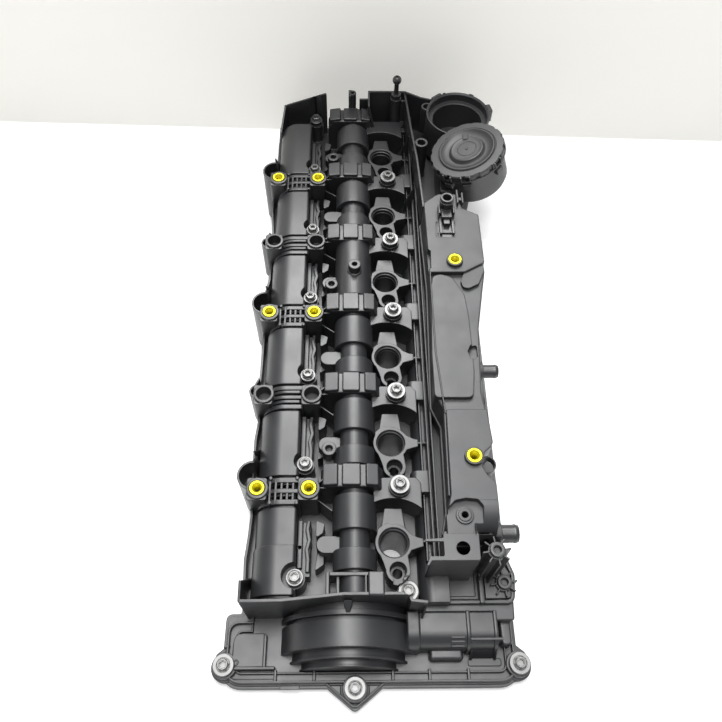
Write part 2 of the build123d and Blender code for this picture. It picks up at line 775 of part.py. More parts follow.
def separator_lid():
    """The welded upper half of the separator, with its recess and insert bosses."""
    corners = [(recess_x0, recess_y0), (recess_x1 - 5, recess_y0), (recess_x1 + 3, recess_y1), (recess_x0 + 2, recess_y1)]
    middle = (recess_x0 + recess_x1 + 5) / 2
    end_r = (recess_x1 + 1 - recess_x0) / 2
    low = lid_z - recess_drop
    recess = slab(corners, low, lid_z + 1) + post(middle, recess_y1, end_r, low, lid_z + 1, 18)
    well = slab(corners, low - lid_t, lid_z, -lid_t) + post(middle, recess_y1, end_r + lid_t, low - lid_t, lid_z, 18)
    lid = separator_plan(weld_z, lid_z) + separator_plan(weld_z, weld_z + weld_bead_h, -weld_bead)
    lid -= separator_plan(weld_z - 1, lid_z - lid_t, wall)
    lid += well & separator_plan(weld_z, lid_z)
    lid -= recess
    boss_r = insert_r + boss_wall
    seat_z = separator_insert_z - insert_proud
    for x, y in separator_insert_spots:
        lid += post(x, y, boss_r, seat_z - insert_l - lid_t, seat_z, insert_sides)
        lid -= post(x, y, insert_r + fit_gap, separator_insert_z - insert_l, seat_z + 5, insert_sides)
    lid += ring(54.7, 11.3, 7, 3, lid_z - 1, lid_z + 1.5, 10)
    for y, r in ((front_nipple_y, front_nipple_r), (rear_nipple_y, rear_nipple_r)):
        lid += across(y, nipple_z, r + nipple_step + 2, nipple_root_x + 2, nipple_seat_x - 1, 12)
        lid -= across(y, nipple_z, r + nipple_step + fit_gap, nipple_root_x - 4, nipple_x, 12)
    return lid


def vent_nipples():
    """The two hose nipples on the separator's right side."""
    parts = []
    for y, r in ((front_nipple_y, front_nipple_r), (rear_nipple_y, rear_nipple_r)):
        bore = across(y, nipple_z, r - nipple_t, nipple_root_x - 1, nipple_x + 1, 12)
        root = across(y, nipple_z, r + nipple_step, nipple_root_x, nipple_seat_x, 12)
        parts.append(root + across(y, nipple_z, r, nipple_seat_x - 1, nipple_x) - bore)
    return parts


def separator_baffle():
    """The nozzle plate that lies on the ledge at the weld."""
    plate = separator_plan(weld_z, weld_z + baffle_t, wall + 0.3)
    nozzles = [post(64, y, nozzle_r, 0, 100, 8) for y in range(140, 240, 16)]
    return plate.cut(*nozzles)


def drain_valves():
    """The rubber umbrella valves in the separator's drains."""
    parts = []
    for x, y in drain_spots:
        stem = post(x, y, drain_r - fit_gap, sep_floor_z - wall - 0.5, sep_floor_z + 0.5, 10)
        disc = post(x, y, drain_r + 4, sep_floor_z - wall - 1.8, sep_floor_z - wall, 12)
        parts.append(stem + disc + post(x, y, drain_r + 1.5, sep_floor_z, sep_floor_z + 2.5, 10))
    return parts


def screw(x, y, z, washer_r):
    """A hexagon screw with its washer, seated at a height."""
    hexagon = Pos(x, y, z + washer_t) * extrude(RegularPolygon(head_af / 2, 6, major_radius=False), head_h)
    shank = post(x, y, screw_r, screw_lift, z + 1, screw_sides)
    return shank + post(x, y, washer_r, z, z + washer_t, 12) + hexagon


def sleeve(x, y, z):
    """The steel sleeve that limits a screw's clamping."""
    return ring(x, y, sleeve_r, sleeve_bore_r, flange_bottom, z, screw_sides)


def grommet(x, y, z, washer_r):
    """The rubber grommet between a screw's washer and its boss."""
    shoulder = z - grommet_h
    outer = post(x, y, grommet_r, shoulder - grommet_l, shoulder + 0.5, screw_sides)
    outer += post(x, y, washer_r - 0.6, shoulder, z, 10)
    return outer - post(x, y, sleeve_r + fit_gap / 2, shoulder - grommet_l - 1, z + 1, screw_sides)


def insert(x, y, top, sides=0):
    """A brass threaded insert."""
    body = post(x, y, insert_r, top - insert_l, top, insert_sides)
    body -= post(x, y, insert_mouth_r, top - insert_mouth_h, top + 1, 8)
    return body - post(x, y, insert_bore_r, top - insert_l - 1, top + 1, sides)


def ball_stud():
    """The ball stud at the rear that the engine's cover clips to."""
    stem = post(stud_x, stud_y, stud_stem_r, stud_foot_z - 12, stud_z, 8)
    collar = Pos(stud_x, stud_y, stud_foot_z) * extrude(RegularPolygon(5.5, 6, major_radius=False), 6)
    ball = post(stud_x, stud_y, stud_ball_r, stud_z - stud_ball_r, stud_z + stud_ball_r, 12)
    rims = ball.edges().group_by(Axis.Z)
    ball = chamfer(list(rims[0]) + list(rims[-1]), stud_ball_r * 0.55)
    return stem + collar + ball


def pressure_port():
    """The clipped hose stub on the rear of the lid."""
    x = port_x
    y = port_y
    stub = ring(x, y, 6.5, 4.0, lid_z, lid_z + 20, 12)
    arm = block(x - 5, x + 5, y - 20, y - 5, lid_z, lid_z + 9)
    legs = [block(x + side - 1.5, x + side + 1.5, y - 34, y - 18, lid_z, lid_z + 4) for side in (-4.5, 4.5)]
    foot_plate = block(x - 9, x + 9, y - 40, y - 12, lid_z, lid_z + 1.2)
    return fused([stub, arm, foot_plate] + legs)


def regulator_cap():
    """The round cap over the diaphragm, with its dished top and notched rim."""
    sides = 28
    dish_r = reg_r - 11
    cap = post(0, 0, reg_r, -cap_skirt, 0, sides) - post(0, 0, reg_r - 2.6, -cap_skirt - 1, -cap_t, sides)
    cap += ring(0, 0, dish_r + 3, dish_r, -cap_t, 1.6, sides)
    cap -= ring(0, 0, dish_r, valve_plate_r, -1.4, 1, sides)
    cap += post(0, 0, valve_plate_r, -cap_t, 0.8, sides)
    for i in range(8):
        cap -= Rot(0, 0, 22 + i * 45) * Pos(reg_r, 0, -cap_skirt / 2) * Box(3, 5, cap_skirt + 1)
    return tilted(cap)


def regulator_diaphragm():
    """The rubber diaphragm, clamped at its bead and stepped down to the valve plate."""
    sides = 20
    top = -cap_t - fit_gap
    t = diaphragm_t
    fold_r = reg_r - 3 - reg_wall - 4
    inner = valve_plate_z + valve_gap
    bead = ring(0, 0, reg_r - 3, fold_r, top - bead_h + 2 * fit_gap, top, sides)
    wall_part = ring(0, 0, fold_r + t, fold_r, inner, top, sides)
    web = ring(0, 0, fold_r + t, 7, inner, inner + t, sides)
    return tilted(bead + wall_part + web)


def valve_plate():
    """The plate that the diaphragm pushes onto the outlet."""
    disc = post(0, 0, valve_plate_r, valve_plate_z - valve_plate_t, valve_plate_z, 20)
    return tilted(disc + post(0, 0, 6, valve_plate_z - 1, valve_plate_z + 3, 10))


def regulator_spring():
    """The coil spring between the bowl's floor and the valve plate."""
    low = -reg_depth + reg_floor_t + spring_wire
    high = valve_plate_z - valve_plate_t - spring_wire - 0.1
    count = 10 * spring_turns
    points = []
    for i in range(count + 1):
        x, y = polar(spring_r, i * 36)
        points.append((x, y, low + (high - low) * i / count))
    path = Polyline(*points)
    section = Plane(path @ 0, z_dir=path % 0) * RegularPolygon(spring_wire, 4)
    return tilted(sweep(section, path=path, transition=Transition.RIGHT))


def save(name, shapes):
    """Writes one node, of one or more solids."""
    shapes = shapes if isinstance(shapes, list) else [shapes]
    solids = [solid for shape in shapes for solid in shape.solids()]
    export_step(Compound(children=solids) if len(solids) > 1 else solids[0], f"parts/{name}.step")


def main():
    os.makedirs("parts", exist_ok=True)
    rows = (
        ("left", [(x, y, left_screw_z) for x, y in left_screws], left_washer_r),
        ("right", [(x, y, z) for (x, y), z in zip(right_screws, right_zs)], right_washer_r),
        ("front", [(x, y, front_screw_z) for x, y in front_screws], front_washer_r),
    )
    save("cover_body", cover_body())
    save("separator_lid", separator_lid())
    save("breather_housing", breather_housing())
    save("separator_baffle", separator_baffle())
    save("oil_drain_valves", drain_valves())
    save("vent_nipples", vent_nipples())
    save("pressure_port", pressure_port())
    save("perimeter_gasket", perimeter_gasket())
    save("injector_seals", injector_seals())
    for name, spots, washer_r in rows:
        save(f"{name}_screws", [screw(*spot, washer_r) for spot in spots])
        save(f"{name}_sleeves", [sleeve(*spot) for spot in spots])
        save(f"{name}_grommets", [grommet(*spot, washer_r) for spot in spots])
    saddle_tops = [(x, y) for y in insert_ys for x in (saddle_left_x, saddle_right_x)]
    save("saddle_inserts", [insert(x, y, saddle_z + insert_proud, 8) for x, y in saddle_tops])
    save("separator_inserts", [insert(x, y, separator_insert_z) for x, y in separator_insert_spots])
    save("ball_stud", ball_stud())
    save("regulator_cap", regulator_cap())
    save("regulator_diaphragm", regulator_diaphragm())
    save("regulator_valve_plate", valve_plate())
    save("regulator_spring", regulator_spring())


if __name__ == "__main__":
    main()
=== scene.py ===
import json
import math

import bmesh
import bpy
from mathutils import Matrix, Vector

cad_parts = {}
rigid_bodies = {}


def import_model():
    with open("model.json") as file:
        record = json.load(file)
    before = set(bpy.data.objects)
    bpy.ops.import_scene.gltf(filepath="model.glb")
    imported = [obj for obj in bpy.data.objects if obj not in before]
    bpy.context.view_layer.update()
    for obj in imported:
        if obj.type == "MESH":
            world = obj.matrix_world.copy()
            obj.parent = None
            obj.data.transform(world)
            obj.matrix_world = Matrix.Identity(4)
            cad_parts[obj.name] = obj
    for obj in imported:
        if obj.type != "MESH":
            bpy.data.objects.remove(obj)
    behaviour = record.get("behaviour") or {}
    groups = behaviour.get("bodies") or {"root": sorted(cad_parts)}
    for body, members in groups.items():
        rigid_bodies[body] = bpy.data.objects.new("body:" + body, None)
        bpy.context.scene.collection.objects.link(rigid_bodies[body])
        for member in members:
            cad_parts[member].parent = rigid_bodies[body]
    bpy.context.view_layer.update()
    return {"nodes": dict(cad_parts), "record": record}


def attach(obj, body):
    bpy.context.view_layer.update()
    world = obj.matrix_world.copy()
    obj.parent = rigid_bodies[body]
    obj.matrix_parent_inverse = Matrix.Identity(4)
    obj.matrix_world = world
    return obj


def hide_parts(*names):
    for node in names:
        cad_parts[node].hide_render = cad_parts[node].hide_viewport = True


# Looks of a moulded valve cover. Lengths are in millimetres until a mesh is finished in metres.
MM = 0.001
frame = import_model()

# Rows along the engine
pitch = 91.0
injector_ys = [i * pitch for i in range(6)]
saddle_ys = [43.0 + i * pitch for i in range(5)]
insert_ys = saddle_ys[::2]
open_ys = saddle_ys[1::2]

# Heights and edges
wall = 3.0
flange_bottom = 1.0
flange_top = 8.0
flange_out = 4.0
deck_z = 34.0
rim_z = 50.0
left_x = -124.0
right_x = 98.0
front_wall_y = -46.0
front_wall_z = 76.0
rear_y = 537.0
screen_y = 529.0

# Timing end
case_left_x = -140.0
case_right_x = 101.0
case_front_y = -102.0
case_back_y = -54.0
case_step_y = -26.0
case_z = 11.0
corner_r = 14.0
back_corner_r = 13.0
flange_back_y = -50.0
gasket_left_x = -133.0
groove_outer = 3.45
groove_inner = 8.55
groove_z = 4.05
flange_width = 10.0
arch_x = -38.0
housing_y = -65.0
housing_z = 22.0
housing_r = 14.0

# Tunnels and saddles
tunnel_x0 = -119.0
tunnel_x1 = -82.0
tunnel_z = 70.0
tunnel_r = 22.0
tunnel_end_y = 505.0
saddle_l = 25.0
saddle_z = 77.0
saddle_left_x = -116.0
saddle_right_x = -72.0
cam_x = -33.0
drum_r = 19.0
drum_z = 77.0
neck_r = 13.0
neck_z = 73.0
lobe_dy = 54.5
lobe_l = 21.0
lobe_left = 29.4
lobe_right = 25.0
lobe_z = 80.0
injector_r = 11.0
injector_z = 62.0
bolt_x = 2.8
bolt_dy = -23.0
saddle_plate_z = 67.0

# Separator, regulator, air duct cup and stud
sep_y0 = -5.0
sep_y1 = 343.0
weld_z = 66.0
lid_z = 105.0
separator_insert_z = 109.0
separator_spots = [(66.0, 58.9), (66.0, 265.8)]
drain_spots = [(62.0, 20.0), (62.0, 330.0)]
pad_ring_xy = (55.2, 10.9)
pad_ring_bore_r = 2.7
separator_plan = [(50.0, sep_y0), (41.0, 5.0), (45.0, 22.0), (46.0, 102.0), (38.0, 122.0), (42.0, 256.0)]
separator_plan += [(39.6, sep_y1), (55.0, 356.0), (77.0, 356.0), (79.0, 336.5), (96.0, 328.0), (96.0, 258.0)]
separator_plan += [(84.0, 192.0), (80.0, 122.0), (82.3, 103.0), (84.0, 72.0), (75.0, 62.0), (73.0, 49.0)]
separator_plan += [(83.0, 36.0), (83.0, 13.0), (81.0, sep_y0)]
nipple_spots = [(1.9, 7.4), (155.8, 6.2)]
nipple_z = 79.0
nipple_root_x = 76.0
port_xy = (61.3, 332.0)
socket_x = 87.0
socket_y = 482.0
socket_z = 104.0
stud_xy = (17.6, 518.0)
regulator_place = Matrix.Translation((88.6, 408.0, 118.0)) @ Matrix.Rotation(math.radians(-19.0), 4, "Y")
window_turns = (232, 262, 318)

# Screws and inserts
left_screw_z = 61.0
left_screws = [(-82.3, -28.4)] + [(-77.0, 70.9 + i * pitch) for i in range(5)] + [(-77.3, 519.6)]
right_screws = [(11.5, -36.5, 47.0)] + [(5.9, y - 44.6, 75.0) for y in injector_ys[1:]]
front_screws = [(-141.0, -88.9, 21.0), (-32.9, -107.0, 21.0), (103.5, -89.1, 21.0)]
left_washer_r = 7.2
right_washer_r = 8.6
front_washer_r = 8.8
screw_hole_r = 6.05
insert_hole_r = 6.65
bracket_hole_xy = (51.7, -15.7)
bracket_hole_r = 5.4
side_pin_xy = (-79.4, -2.0)


def form(verts, faces, bevel=0.0, segments=2, angle=40.0):
    """A closed mesh from points and faces, with its sharp outer edges rounded."""
    bm = bmesh.new()
    points = [bm.verts.new(v) for v in verts]
    for f in faces:
        bm.faces.new([points[i] for i in f])
    bmesh.ops.recalc_face_normals(bm, faces=bm.faces)
    if bm.calc_volume(signed=True) < 0:
        bmesh.ops.reverse_faces(bm, faces=bm.faces)
    if bevel:
        limit = math.radians(angle)
        sharp = [e for e in bm.edges if len(e.link_faces) == 2 and e.calc_face_angle_signed(0.0) > limit]
        bmesh.ops.bevel(
            bm, geom=sharp, offset=bevel, segments=segments, profile=0.5, affect="EDGES", clamp_overlap=True
        )
    mesh = bpy.data.meshes.new("form")
    bm.to_mesh(mesh)
    bm.free()
    return mesh


def turned(mesh, matrix):
    """A mesh carried by a matrix."""
    mesh.transform(matrix)
    return mesh


def spun(mesh, degrees):
    """A mesh turned round the upright axis."""
    return turned(mesh, Matrix.Rotation(math.radians(degrees), 4, "Z"))


def along_y(mesh, x, z, y):
    """Lays an upright form drawn round the origin along Y."""
    return turned(mesh, Matrix.Translation((x, y, z)) @ Matrix.Rotation(math.radians(-90), 4, "X"))


def along_x(mesh, y, z, x):
    """Lays an upright form drawn round the origin along X."""
    return turned(mesh, Matrix.Translation((x, y, z)) @ Matrix.Rotation(math.radians(90), 4, "Y"))


def prism(points, z0, z1, bevel=0.5, segments=2):
    """A polygon in plan between two heights."""
    n = len(points)
    verts = [(x, y, z0) for x, y in points] + [(x, y, z1) for x, y in points]
    faces = [list(range(n)), [n + i for i in range(n)]]
    faces += [[i, (i + 1) % n, n + (i + 1) % n, n + i] for i in range(n)]
    return form(verts, faces, bevel, segments)


def profile_y(points, y0, y1, bevel=0.5, segments=2):
    """A polygon in X and Z carried along Y."""
    mesh = prism(points, y0, y1, bevel, segments)
    mesh.transform(Matrix(((1, 0, 0, 0), (0, 0, 1, 0), (0, 1, 0, 0), (0, 0, 0, 1))))
    mesh.flip_normals()
    return mesh


def profile_x(points, x0, x1, bevel=0.5, segments=2):
    """A polygon in Y and Z carried along X."""
    swap = Matrix(((0, 0, 1, 0), (1, 0, 0, 0), (0, 1, 0, 0), (0, 0, 0, 1)))
    return turned(prism(points, x0, x1, bevel, segments), swap)


def rect(x0, x1, y0, y1):
    """A rectangle in plan."""
    return [(x0, y0), (x1, y0), (x1, y1), (x0, y1)]


def block(x0, x1, y0, y1, z0, z1, bevel=0.5, segments=2):
    """A box from its corners."""
    return prism(rect(x0, x1, y0, y1), z0, z1, bevel, segments)


def arc(cx, cy, r, a0, a1, steps):
    """Points on an arc, in degrees."""
    turns = [math.radians(a0 + (a1 - a0) * i / steps) for i in range(steps + 1)]
    return [(cx + r * math.cos(a), cy + r * math.sin(a)) for a in turns]


def rounded(points, r, steps=4):
    """A polygon with its corners rounded; r is one radius or a list of them."""
    n = len(points)
    radii = r if isinstance(r, (list, tuple)) else [r] * n
    out = []
    for i in range(n):
        here = Vector(points[i])
        before = Vector(points[i - 1]) - here
        after = Vector(points[(i + 1) % n]) - here
        turn = before.angle(after)
        if radii[i] <= 0 or turn > math.radians(176):
            out.append(tuple(here))
            continue
        reach = min(radii[i] / math.tan(turn / 2), before.length * 0.48, after.length * 0.48)
        start = here + before.normalized() * reach
        end = here + after.normalized() * reach
        for k in range(steps + 1):
            t = k / steps
            p = start * (1 - t) ** 2 + here * 2 * t * (1 - t) + end * t**2
            out.append(tuple(p))
    return out


def slab(points, r, steps, z0, z1, bevel=0.5, segments=2):
    """A polygon with rounded corners between two heights."""
    return prism(rounded(points, r, steps), z0, z1, bevel, segments)


def grown(points, amount):
    """A plan outline moved outwards by an amount."""
    turns = sum(a[0] * b[1] - b[0] * a[1] for a, b in zip(points, points[1:] + points[:1]))
    side = 1 if turns > 0 else -1
    out = []
    for i, point in enumerate(points):
        here = Vector(point)
        before = (here - Vector(points[i - 1])).normalized()
        after = (Vector(points[(i + 1) % len(points)]) - here).normalized()
        normals = [Vector((d.y, -d.x)) * side for d in (before, after)]
        middle = (normals[0] + normals[1]).normalized()
        out.append(tuple(here + middle * amount / max(0.4, middle.dot(normals[0]))))
    return out


def lathe(x, y, profile, steps=40):
    """A solid of revolution from radius and height pairs, closed at the axis or as a ring."""
    rings = []
    verts = []
    for r, z in profile:
        if r == 0:
            rings.append([len(verts)] * steps)
            verts.append((x, y, z))
            continue
        rings.append(list(range(len(verts), len(verts) + steps)))
        for i in range(steps):
            a = 2 * math.pi * i / steps
            verts.append((x + r * math.cos(a), y + r * math.sin(a), z))
    faces = []
    count = len(profile)
    for k in range(count if profile[0][0] > 0 else count - 1):
        a, b = rings[k], rings[(k + 1) % count]
        for i in range(steps):
            j = (i + 1) % steps
            quad = [a[i], a[j], b[j], b[i]]
            face = [v for n, v in enumerate(quad) if v not in quad[:n]]
            if len(face) > 2:
                faces.append(face)
    return form(verts, faces)


def disc(x, y, r, z0, z1, steps=28):
    """A plain upright cylinder, also used as a cutter."""
    return lathe(x, y, [(0, z0), (r, z0), (r, z1), (0, z1)], steps)


def cylinder(x, y, r, z0, z1, bevel=0.5, steps=40):
    """An upright cylinder with a rounded rim."""
    b = min(bevel, r / 3, (z1 - z0) / 3)
    if not b:
        return disc(x, y, r, z0, z1, steps)
    rim = [(r - b + b * math.sin(t), z1 - b + b * math.cos(t)) for t in (math.pi / 2, math.pi / 4, 0)]
    return lathe(x, y, [(0, z0), (r, z0)] + rim + [(0, z1)], steps)


def tube(x, y, r_out, r_in, z0, z1, bevel=0.5, steps=40):
    """An upright tube with rounded edges at its top."""
    b = min(bevel, (r_out - r_in) / 3)
    top = [(r_out, z1 - b), (r_out - 0.3 * b, z1 - 0.3 * b), (r_out - b, z1)]
    top += [(r_in + b, z1), (r_in + 0.3 * b, z1 - 0.3 * b), (r_in, z1 - b)]
    return lathe(x, y, [(r_in, z0), (r_out, z0)] + top, steps)


def strip(points, t, z0, z1, bevel=0.3):
    """A thin upright wall along a line in plan; z1 is one height or a list of them."""
    n = len(points)
    highs = z1 if isinstance(z1, (list, tuple)) else [z1] * n
    verts = []
    for i in range(n):
        here = Vector(points[i])
        before = (here - Vector(points[i - 1])).normalized() if i else None
        after = (Vector(points[i + 1]) - here).normalized() if i < n - 1 else None
        before = before or after
        after = after or before
        normal = Vector((-(before + after).y, (before + after).x)).normalized()
        reach = t / 2 / max(0.35, normal.dot(Vector((-before.y, before.x))))
        left = here + normal * reach
        right = here - normal * reach
        verts += [(p.x, p.y, z) for p, z in ((left, z0), (right, z0), (right, highs[i]), (left, highs[i]))]
    faces = []
    for a in range(0, 4 * n - 4, 4):
        faces += [[a + k, a + (k + 1) % 4, a + 4 + (k + 1) % 4, a + 4 + k] for k in range(4)]
    faces += [[0, 1, 2, 3], [4 * n - 4, 4 * n - 3, 4 * n - 2, 4 * n - 1]]
    return form(verts, faces, bevel, 2, 50.0)


def combined(name, steps):
    """Joins and cuts closed forms in turn; steps are (operation, forms)."""
    scene = bpy.context.scene
    base = bpy.data.objects.new(name, steps[0][1][0])
    scene.collection.objects.link(base)
    groups = []
    for number, (operation, meshes) in enumerate(steps):
        meshes = meshes[1:] if number == 0 else meshes
        if not meshes:
            continue
        group = bpy.data.collections.new(f"{name}_{number}")
        scene.collection.children.link(group)
        for mesh in meshes:
            group.objects.link(bpy.data.objects.new("operand", mesh))
        groups.append(group)
        modifier = base.modifiers.new(operation, "BOOLEAN")
        modifier.operation = operation
        modifier.operand_type = "COLLECTION"
        modifier.collection = group
        modifier.solver = "MANIFOLD"
    result = bpy.data.meshes.new_from_object(base.evaluated_get(bpy.context.evaluated_depsgraph_get()))
    for group in groups:
        for obj in list(group.objects):
            bpy.data.objects.remove(obj)
        bpy.data.collections.remove(group)
    bpy.data.objects.remove(base)
    return result


def finished(name, mesh, slot, replaces, body="cover"):
    """Turns a form in millimetres into the visible piece, in metres, that shows nodes of the frame."""
    mesh.transform(Matrix.Scale(MM, 4))
    bm = bmesh.new()
    bm.from_mesh(mesh)
    bmesh.ops.remove_doubles(bm, verts=bm.verts, dist=1e-6)
    bmesh.ops.dissolve_degenerate(bm, dist=1e-6, edges=bm.edges)
    bm.to_mesh(mesh)
    bm.free()
    mesh.materials.clear()
    mesh.materials.append(materials[slot])
    for polygon in mesh.polygons:
        polygon.material_index = 0
        polygon.use_smooth = True
    mesh.set_sharp_from_angle(angle=math.radians(32))
    draft = bpy.data.objects.new("draft", mesh)
    bpy.context.scene.collection.objects.link(draft)
    even = draft.modifiers.new("even", "WEIGHTED_NORMAL")
    even.keep_sharp = True
    even.weight = 80
    mesh = bpy.data.meshes.new_from_object(draft.evaluated_get(bpy.context.evaluated_depsgraph_get()))
    bpy.data.objects.remove(draft)
    mesh.name = name
    obj = bpy.data.objects.new(name, mesh)
    bpy.context.scene.collection.objects.link(obj)
    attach(obj, body)
    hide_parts(*replaces)


def joined(meshes):
    """One mesh from several that stay separate solids."""
    bm = bmesh.new()
    for mesh in meshes:
        bm.from_mesh(mesh)
    out = bpy.data.meshes.new("joined")
    bm.to_mesh(out)
    bm.free()
    return out


def node(tree, kind, **values):
    """A shader node with its named inputs set or linked."""
    made = tree.nodes.new(kind)
    for key, value in values.items():
        socket = made.inputs[key.replace("_", " ")]
        if isinstance(value, bpy.types.NodeSocket):
            tree.links.new(value, socket)
        else:
            socket.default_value = value
    return made


def wired(tree, kind, *sources):
    """A shader node with its first inputs linked in turn."""
    made = tree.nodes.new(kind)
    for source, socket in zip(sources, made.inputs):
        tree.links.new(source, socket)
    return made


def surface(name, colors, roughness, spread, reach, noises, edge, bump):
    """A material whose gloss, tone and fine bump follow three noises, with rounded edges."""
    material = bpy.data.materials.new(name)
    material.use_nodes = True
    tree = material.node_tree
    shader = tree.nodes["Principled BSDF"]
    place = tree.nodes.new("ShaderNodeTexCoord").outputs["Object"]
    textures = [node(tree, "ShaderNodeTexNoise", Vector=place, **noise) for noise in noises]
    gloss, tone, grain = [texture.outputs["Fac"] for texture in textures]
    low, high = roughness - spread / 2, roughness + spread / 2
    ends = {"From_Min": reach[0], "From_Max": reach[1], "To_Min": low, "To_Max": high}
    rough = node(tree, "ShaderNodeMapRange", Value=gloss, **ends)
    tree.links.new(rough.outputs["Result"], shader.inputs["Roughness"])
    tint = tree.nodes.new("ShaderNodeMix")
    tint.data_type = "RGBA"
    tree.links.new(tone, tint.inputs["Factor"])
    tint.inputs["A"].default_value = (*colors[0], 1)
    tint.inputs["B"].default_value = (*colors[1], 1)
    tree.links.new(tint.outputs["Result"], shader.inputs["Base Color"])
    bevel = node(tree, "ShaderNodeBevel", Radius=edge * MM)
    bevel.samples = 4
    strength, depth = bump
    relief = node(tree, "ShaderNodeBump", Strength=strength, Distance=depth * MM, Height=grain)
    tree.links.new(bevel.outputs["Normal"], relief.inputs["Normal"])
    tree.links.new(relief.outputs["Normal"], shader.inputs["Normal"])
    return material, shader


def plastic(name, color, roughness, grain=0.12, edge=0.8):
    """Moulded plastic: fine grain, uneven gloss, and rounded edges that catch the light."""
    noises = [{"Scale": 38.0, "Detail": 5.0, "Roughness": 0.6}, {"Scale": 9.0, "Detail": 3.0}]
    noises.append({"Scale": 2600.0, "Detail": 2.0})
    pale = [c * 1.5 for c in color]
    material, shader = surface(name, (color, pale), roughness, 0.1, (0.3, 0.7), noises, edge, (grain, 0.05))
    shader.inputs["Specular IOR Level"].default_value = 0.7
    return material


def metal(name, color, roughness):
    """Plated or turned metal with fine marks."""
    marks = {"Scale": 900.0, "Detail": 4.0}
    noises = [marks, {"Scale": 160.0, "Detail": 2.0}, marks]
    dull = [c * 0.82 for c in color]
    material, shader = surface(name, (color, dull), roughness, 0.12, (0.0, 1.0), noises, 0.15, (0.1, 0.02))
    shader.inputs["Metallic"].default_value = 1.0
    return material


plastics = {
    "cover_plastic": ((0.015, 0.0155, 0.0165), 0.4),
    "lid_plastic": ((0.018, 0.0185, 0.0195), 0.47),
    "cap_plastic": ((0.016, 0.0165, 0.017), 0.5),
    "nipple_plastic": ((0.018, 0.018, 0.019), 0.36, 0.04, 0.3),
    "rubber": ((0.012, 0.012, 0.012), 0.7, 0.25),
}
metals = {
    "zinc_steel": ((0.22, 0.22, 0.216), 0.44),
    "sleeve_steel": ((0.5, 0.49, 0.47), 0.35),
    "brass": ((0.7, 0.62, 0.04), 0.45),
}
materials = {slot: plastic(slot, *looks) for slot, looks in plastics.items()}
materials.update({slot: metal(slot, *looks) for slot, looks in metals.items()})
for part in frame["record"]["subparts"]:
    mesh = frame["nodes"][part["node"]].data
    mesh.materials.clear()
    mesh.materials.append(materials[part["material_slot"]])
    for polygon in mesh.polygons:
        polygon.use_smooth = True
    mesh.set_sharp_from_angle(angle=math.radians(28))


def foot(inset):
    """The lowest height of a volume: the flange, or below it for the space inside."""
    return flange_bottom - (10.0 if inset else 0.0)


def tunnel(x0, x1, y0, y1, z1, left_r, right_r, inset=0.0, bevel=1.2):
    """A bar along Y with rounded upper corners, drawn in by an inset."""
    x0, x1, z1 = x0 + inset, x1 - inset, z1 - inset
    left_r = max(left_r - inset, 0.6)
    right_r = max(right_r - inset, 0.6)
    left_steps = max(3, round(left_r / (3.0 if inset else 1.6)))
    right_steps = max(3, round(right_r / (3.0 if inset else 1.6)))
    points = [(x1, foot(inset)), (x0, foot(inset))]
    points += arc(x0 + left_r, z1 - left_r, left_r, 180, 90, left_steps)
    points += arc(x1 - right_r, z1 - right_r, right_r, 90, 0, right_steps)
    return profile_y(points, y0 + inset, y1 - inset, 0 if inset else bevel)


def deck(inset):
    """The long deck of the cover."""
    plan = rect(left_x + inset, right_x - inset, front_wall_y + inset, rear_y - inset)
    return prism(plan, foot(inset), deck_z - inset, 0)


def case_plan(grow):
    """The timing end's outline in plan, wider than the deck on the left and round at its corners."""
    x0, x1 = case_left_x - grow, case_right_x + grow
    y0, y1, x2 = case_front_y - grow, case_back_y + grow, left_x + 4
    points = [(x2, case_step_y), (x2, y1), (x0, y1), (x0, y0), (x1, y0), (x1, case_step_y)]
    return rounded(points, [0, 0, back_corner_r + grow, corner_r + grow, corner_r + grow, 0], 8)


def arch(inset):
    """The stepped half round over the chain wheels."""
    runs = [(58.0, -80.5, -59.4), (53.4, -66.0, -55.0), (58.6, -56.4, -52.4), (54.0, -54.0, -42.0)]
    runs += [(48.6, -87.2, -78.0), (50.4, -87.6, -86.0), (41.0, -92.6, -80.0), (42.6, -93.2, -91.8)]
    if inset:
        runs = [(58.0, -80.5, -63.5), (53.4, -66.0, -42.0), (48.6, -87.2, -70.0)]
    low = foot(inset)
    forms = []
    for r, y0, y1 in runs:
        points = arc(arch_x, 0, r - inset, 0, 180, 20 if inset else 48)
        points += [(arch_x - r + inset, low), (arch_x + r - inset, low)]
        forms.append(profile_y(points, y0 + inset, y1, 0 if inset else min(1.6, (y1 - y0) / 3)))
    return forms


def housing_profile(grow):
    """The lying housing in Y and Z: a flat top that rounds down to the front."""
    y, z, r = housing_y, housing_z, housing_r + grow
    return [(-50, 2), (-50, z + r), (y, z + r)] + arc(y, z, r, 96, 174, 18) + [(y - r, z), (y - r, 2)]


def drive_housing(inset):
    """The lying housing at the right of the arch, under the shelf of the front corner."""
    if inset:
        top = housing_z + housing_r - inset
        points = [(-50, foot(inset)), (-50, top), (housing_y, top)]
        points += arc(housing_y, housing_z, housing_r - inset, 80, 176, 10)
        return [profile_x(points + [(-79 + inset, foot(inset))], 10, 72, 0)]
    forms = [profile_x(housing_profile(0), 10, 84, 2.2, 3), profile_x(housing_profile(1.6), 10, 21, 1.6, 3)]
    return forms + [profile_x(housing_profile(1.8), x, x + 3.2, 0.9) for x in (59.4, 82.0)]


def screw_notches(inset):
    """The round notches that clear the washers of the lower screws."""
    steps = 16 if inset else 40
    forms = []
    for i, (x, y) in enumerate(left_screws):
        r = left_washer_r + (3.4 if i == 0 else 2.2)
        forms.append(disc(x, y, r + inset, left_screw_z - 4 - inset, 100, steps))
    x, y, z = right_screws[0]
    forms.append(disc(x, y, right_washer_r + 0.6 + inset, z - 4 - inset, 100, steps))
    return forms


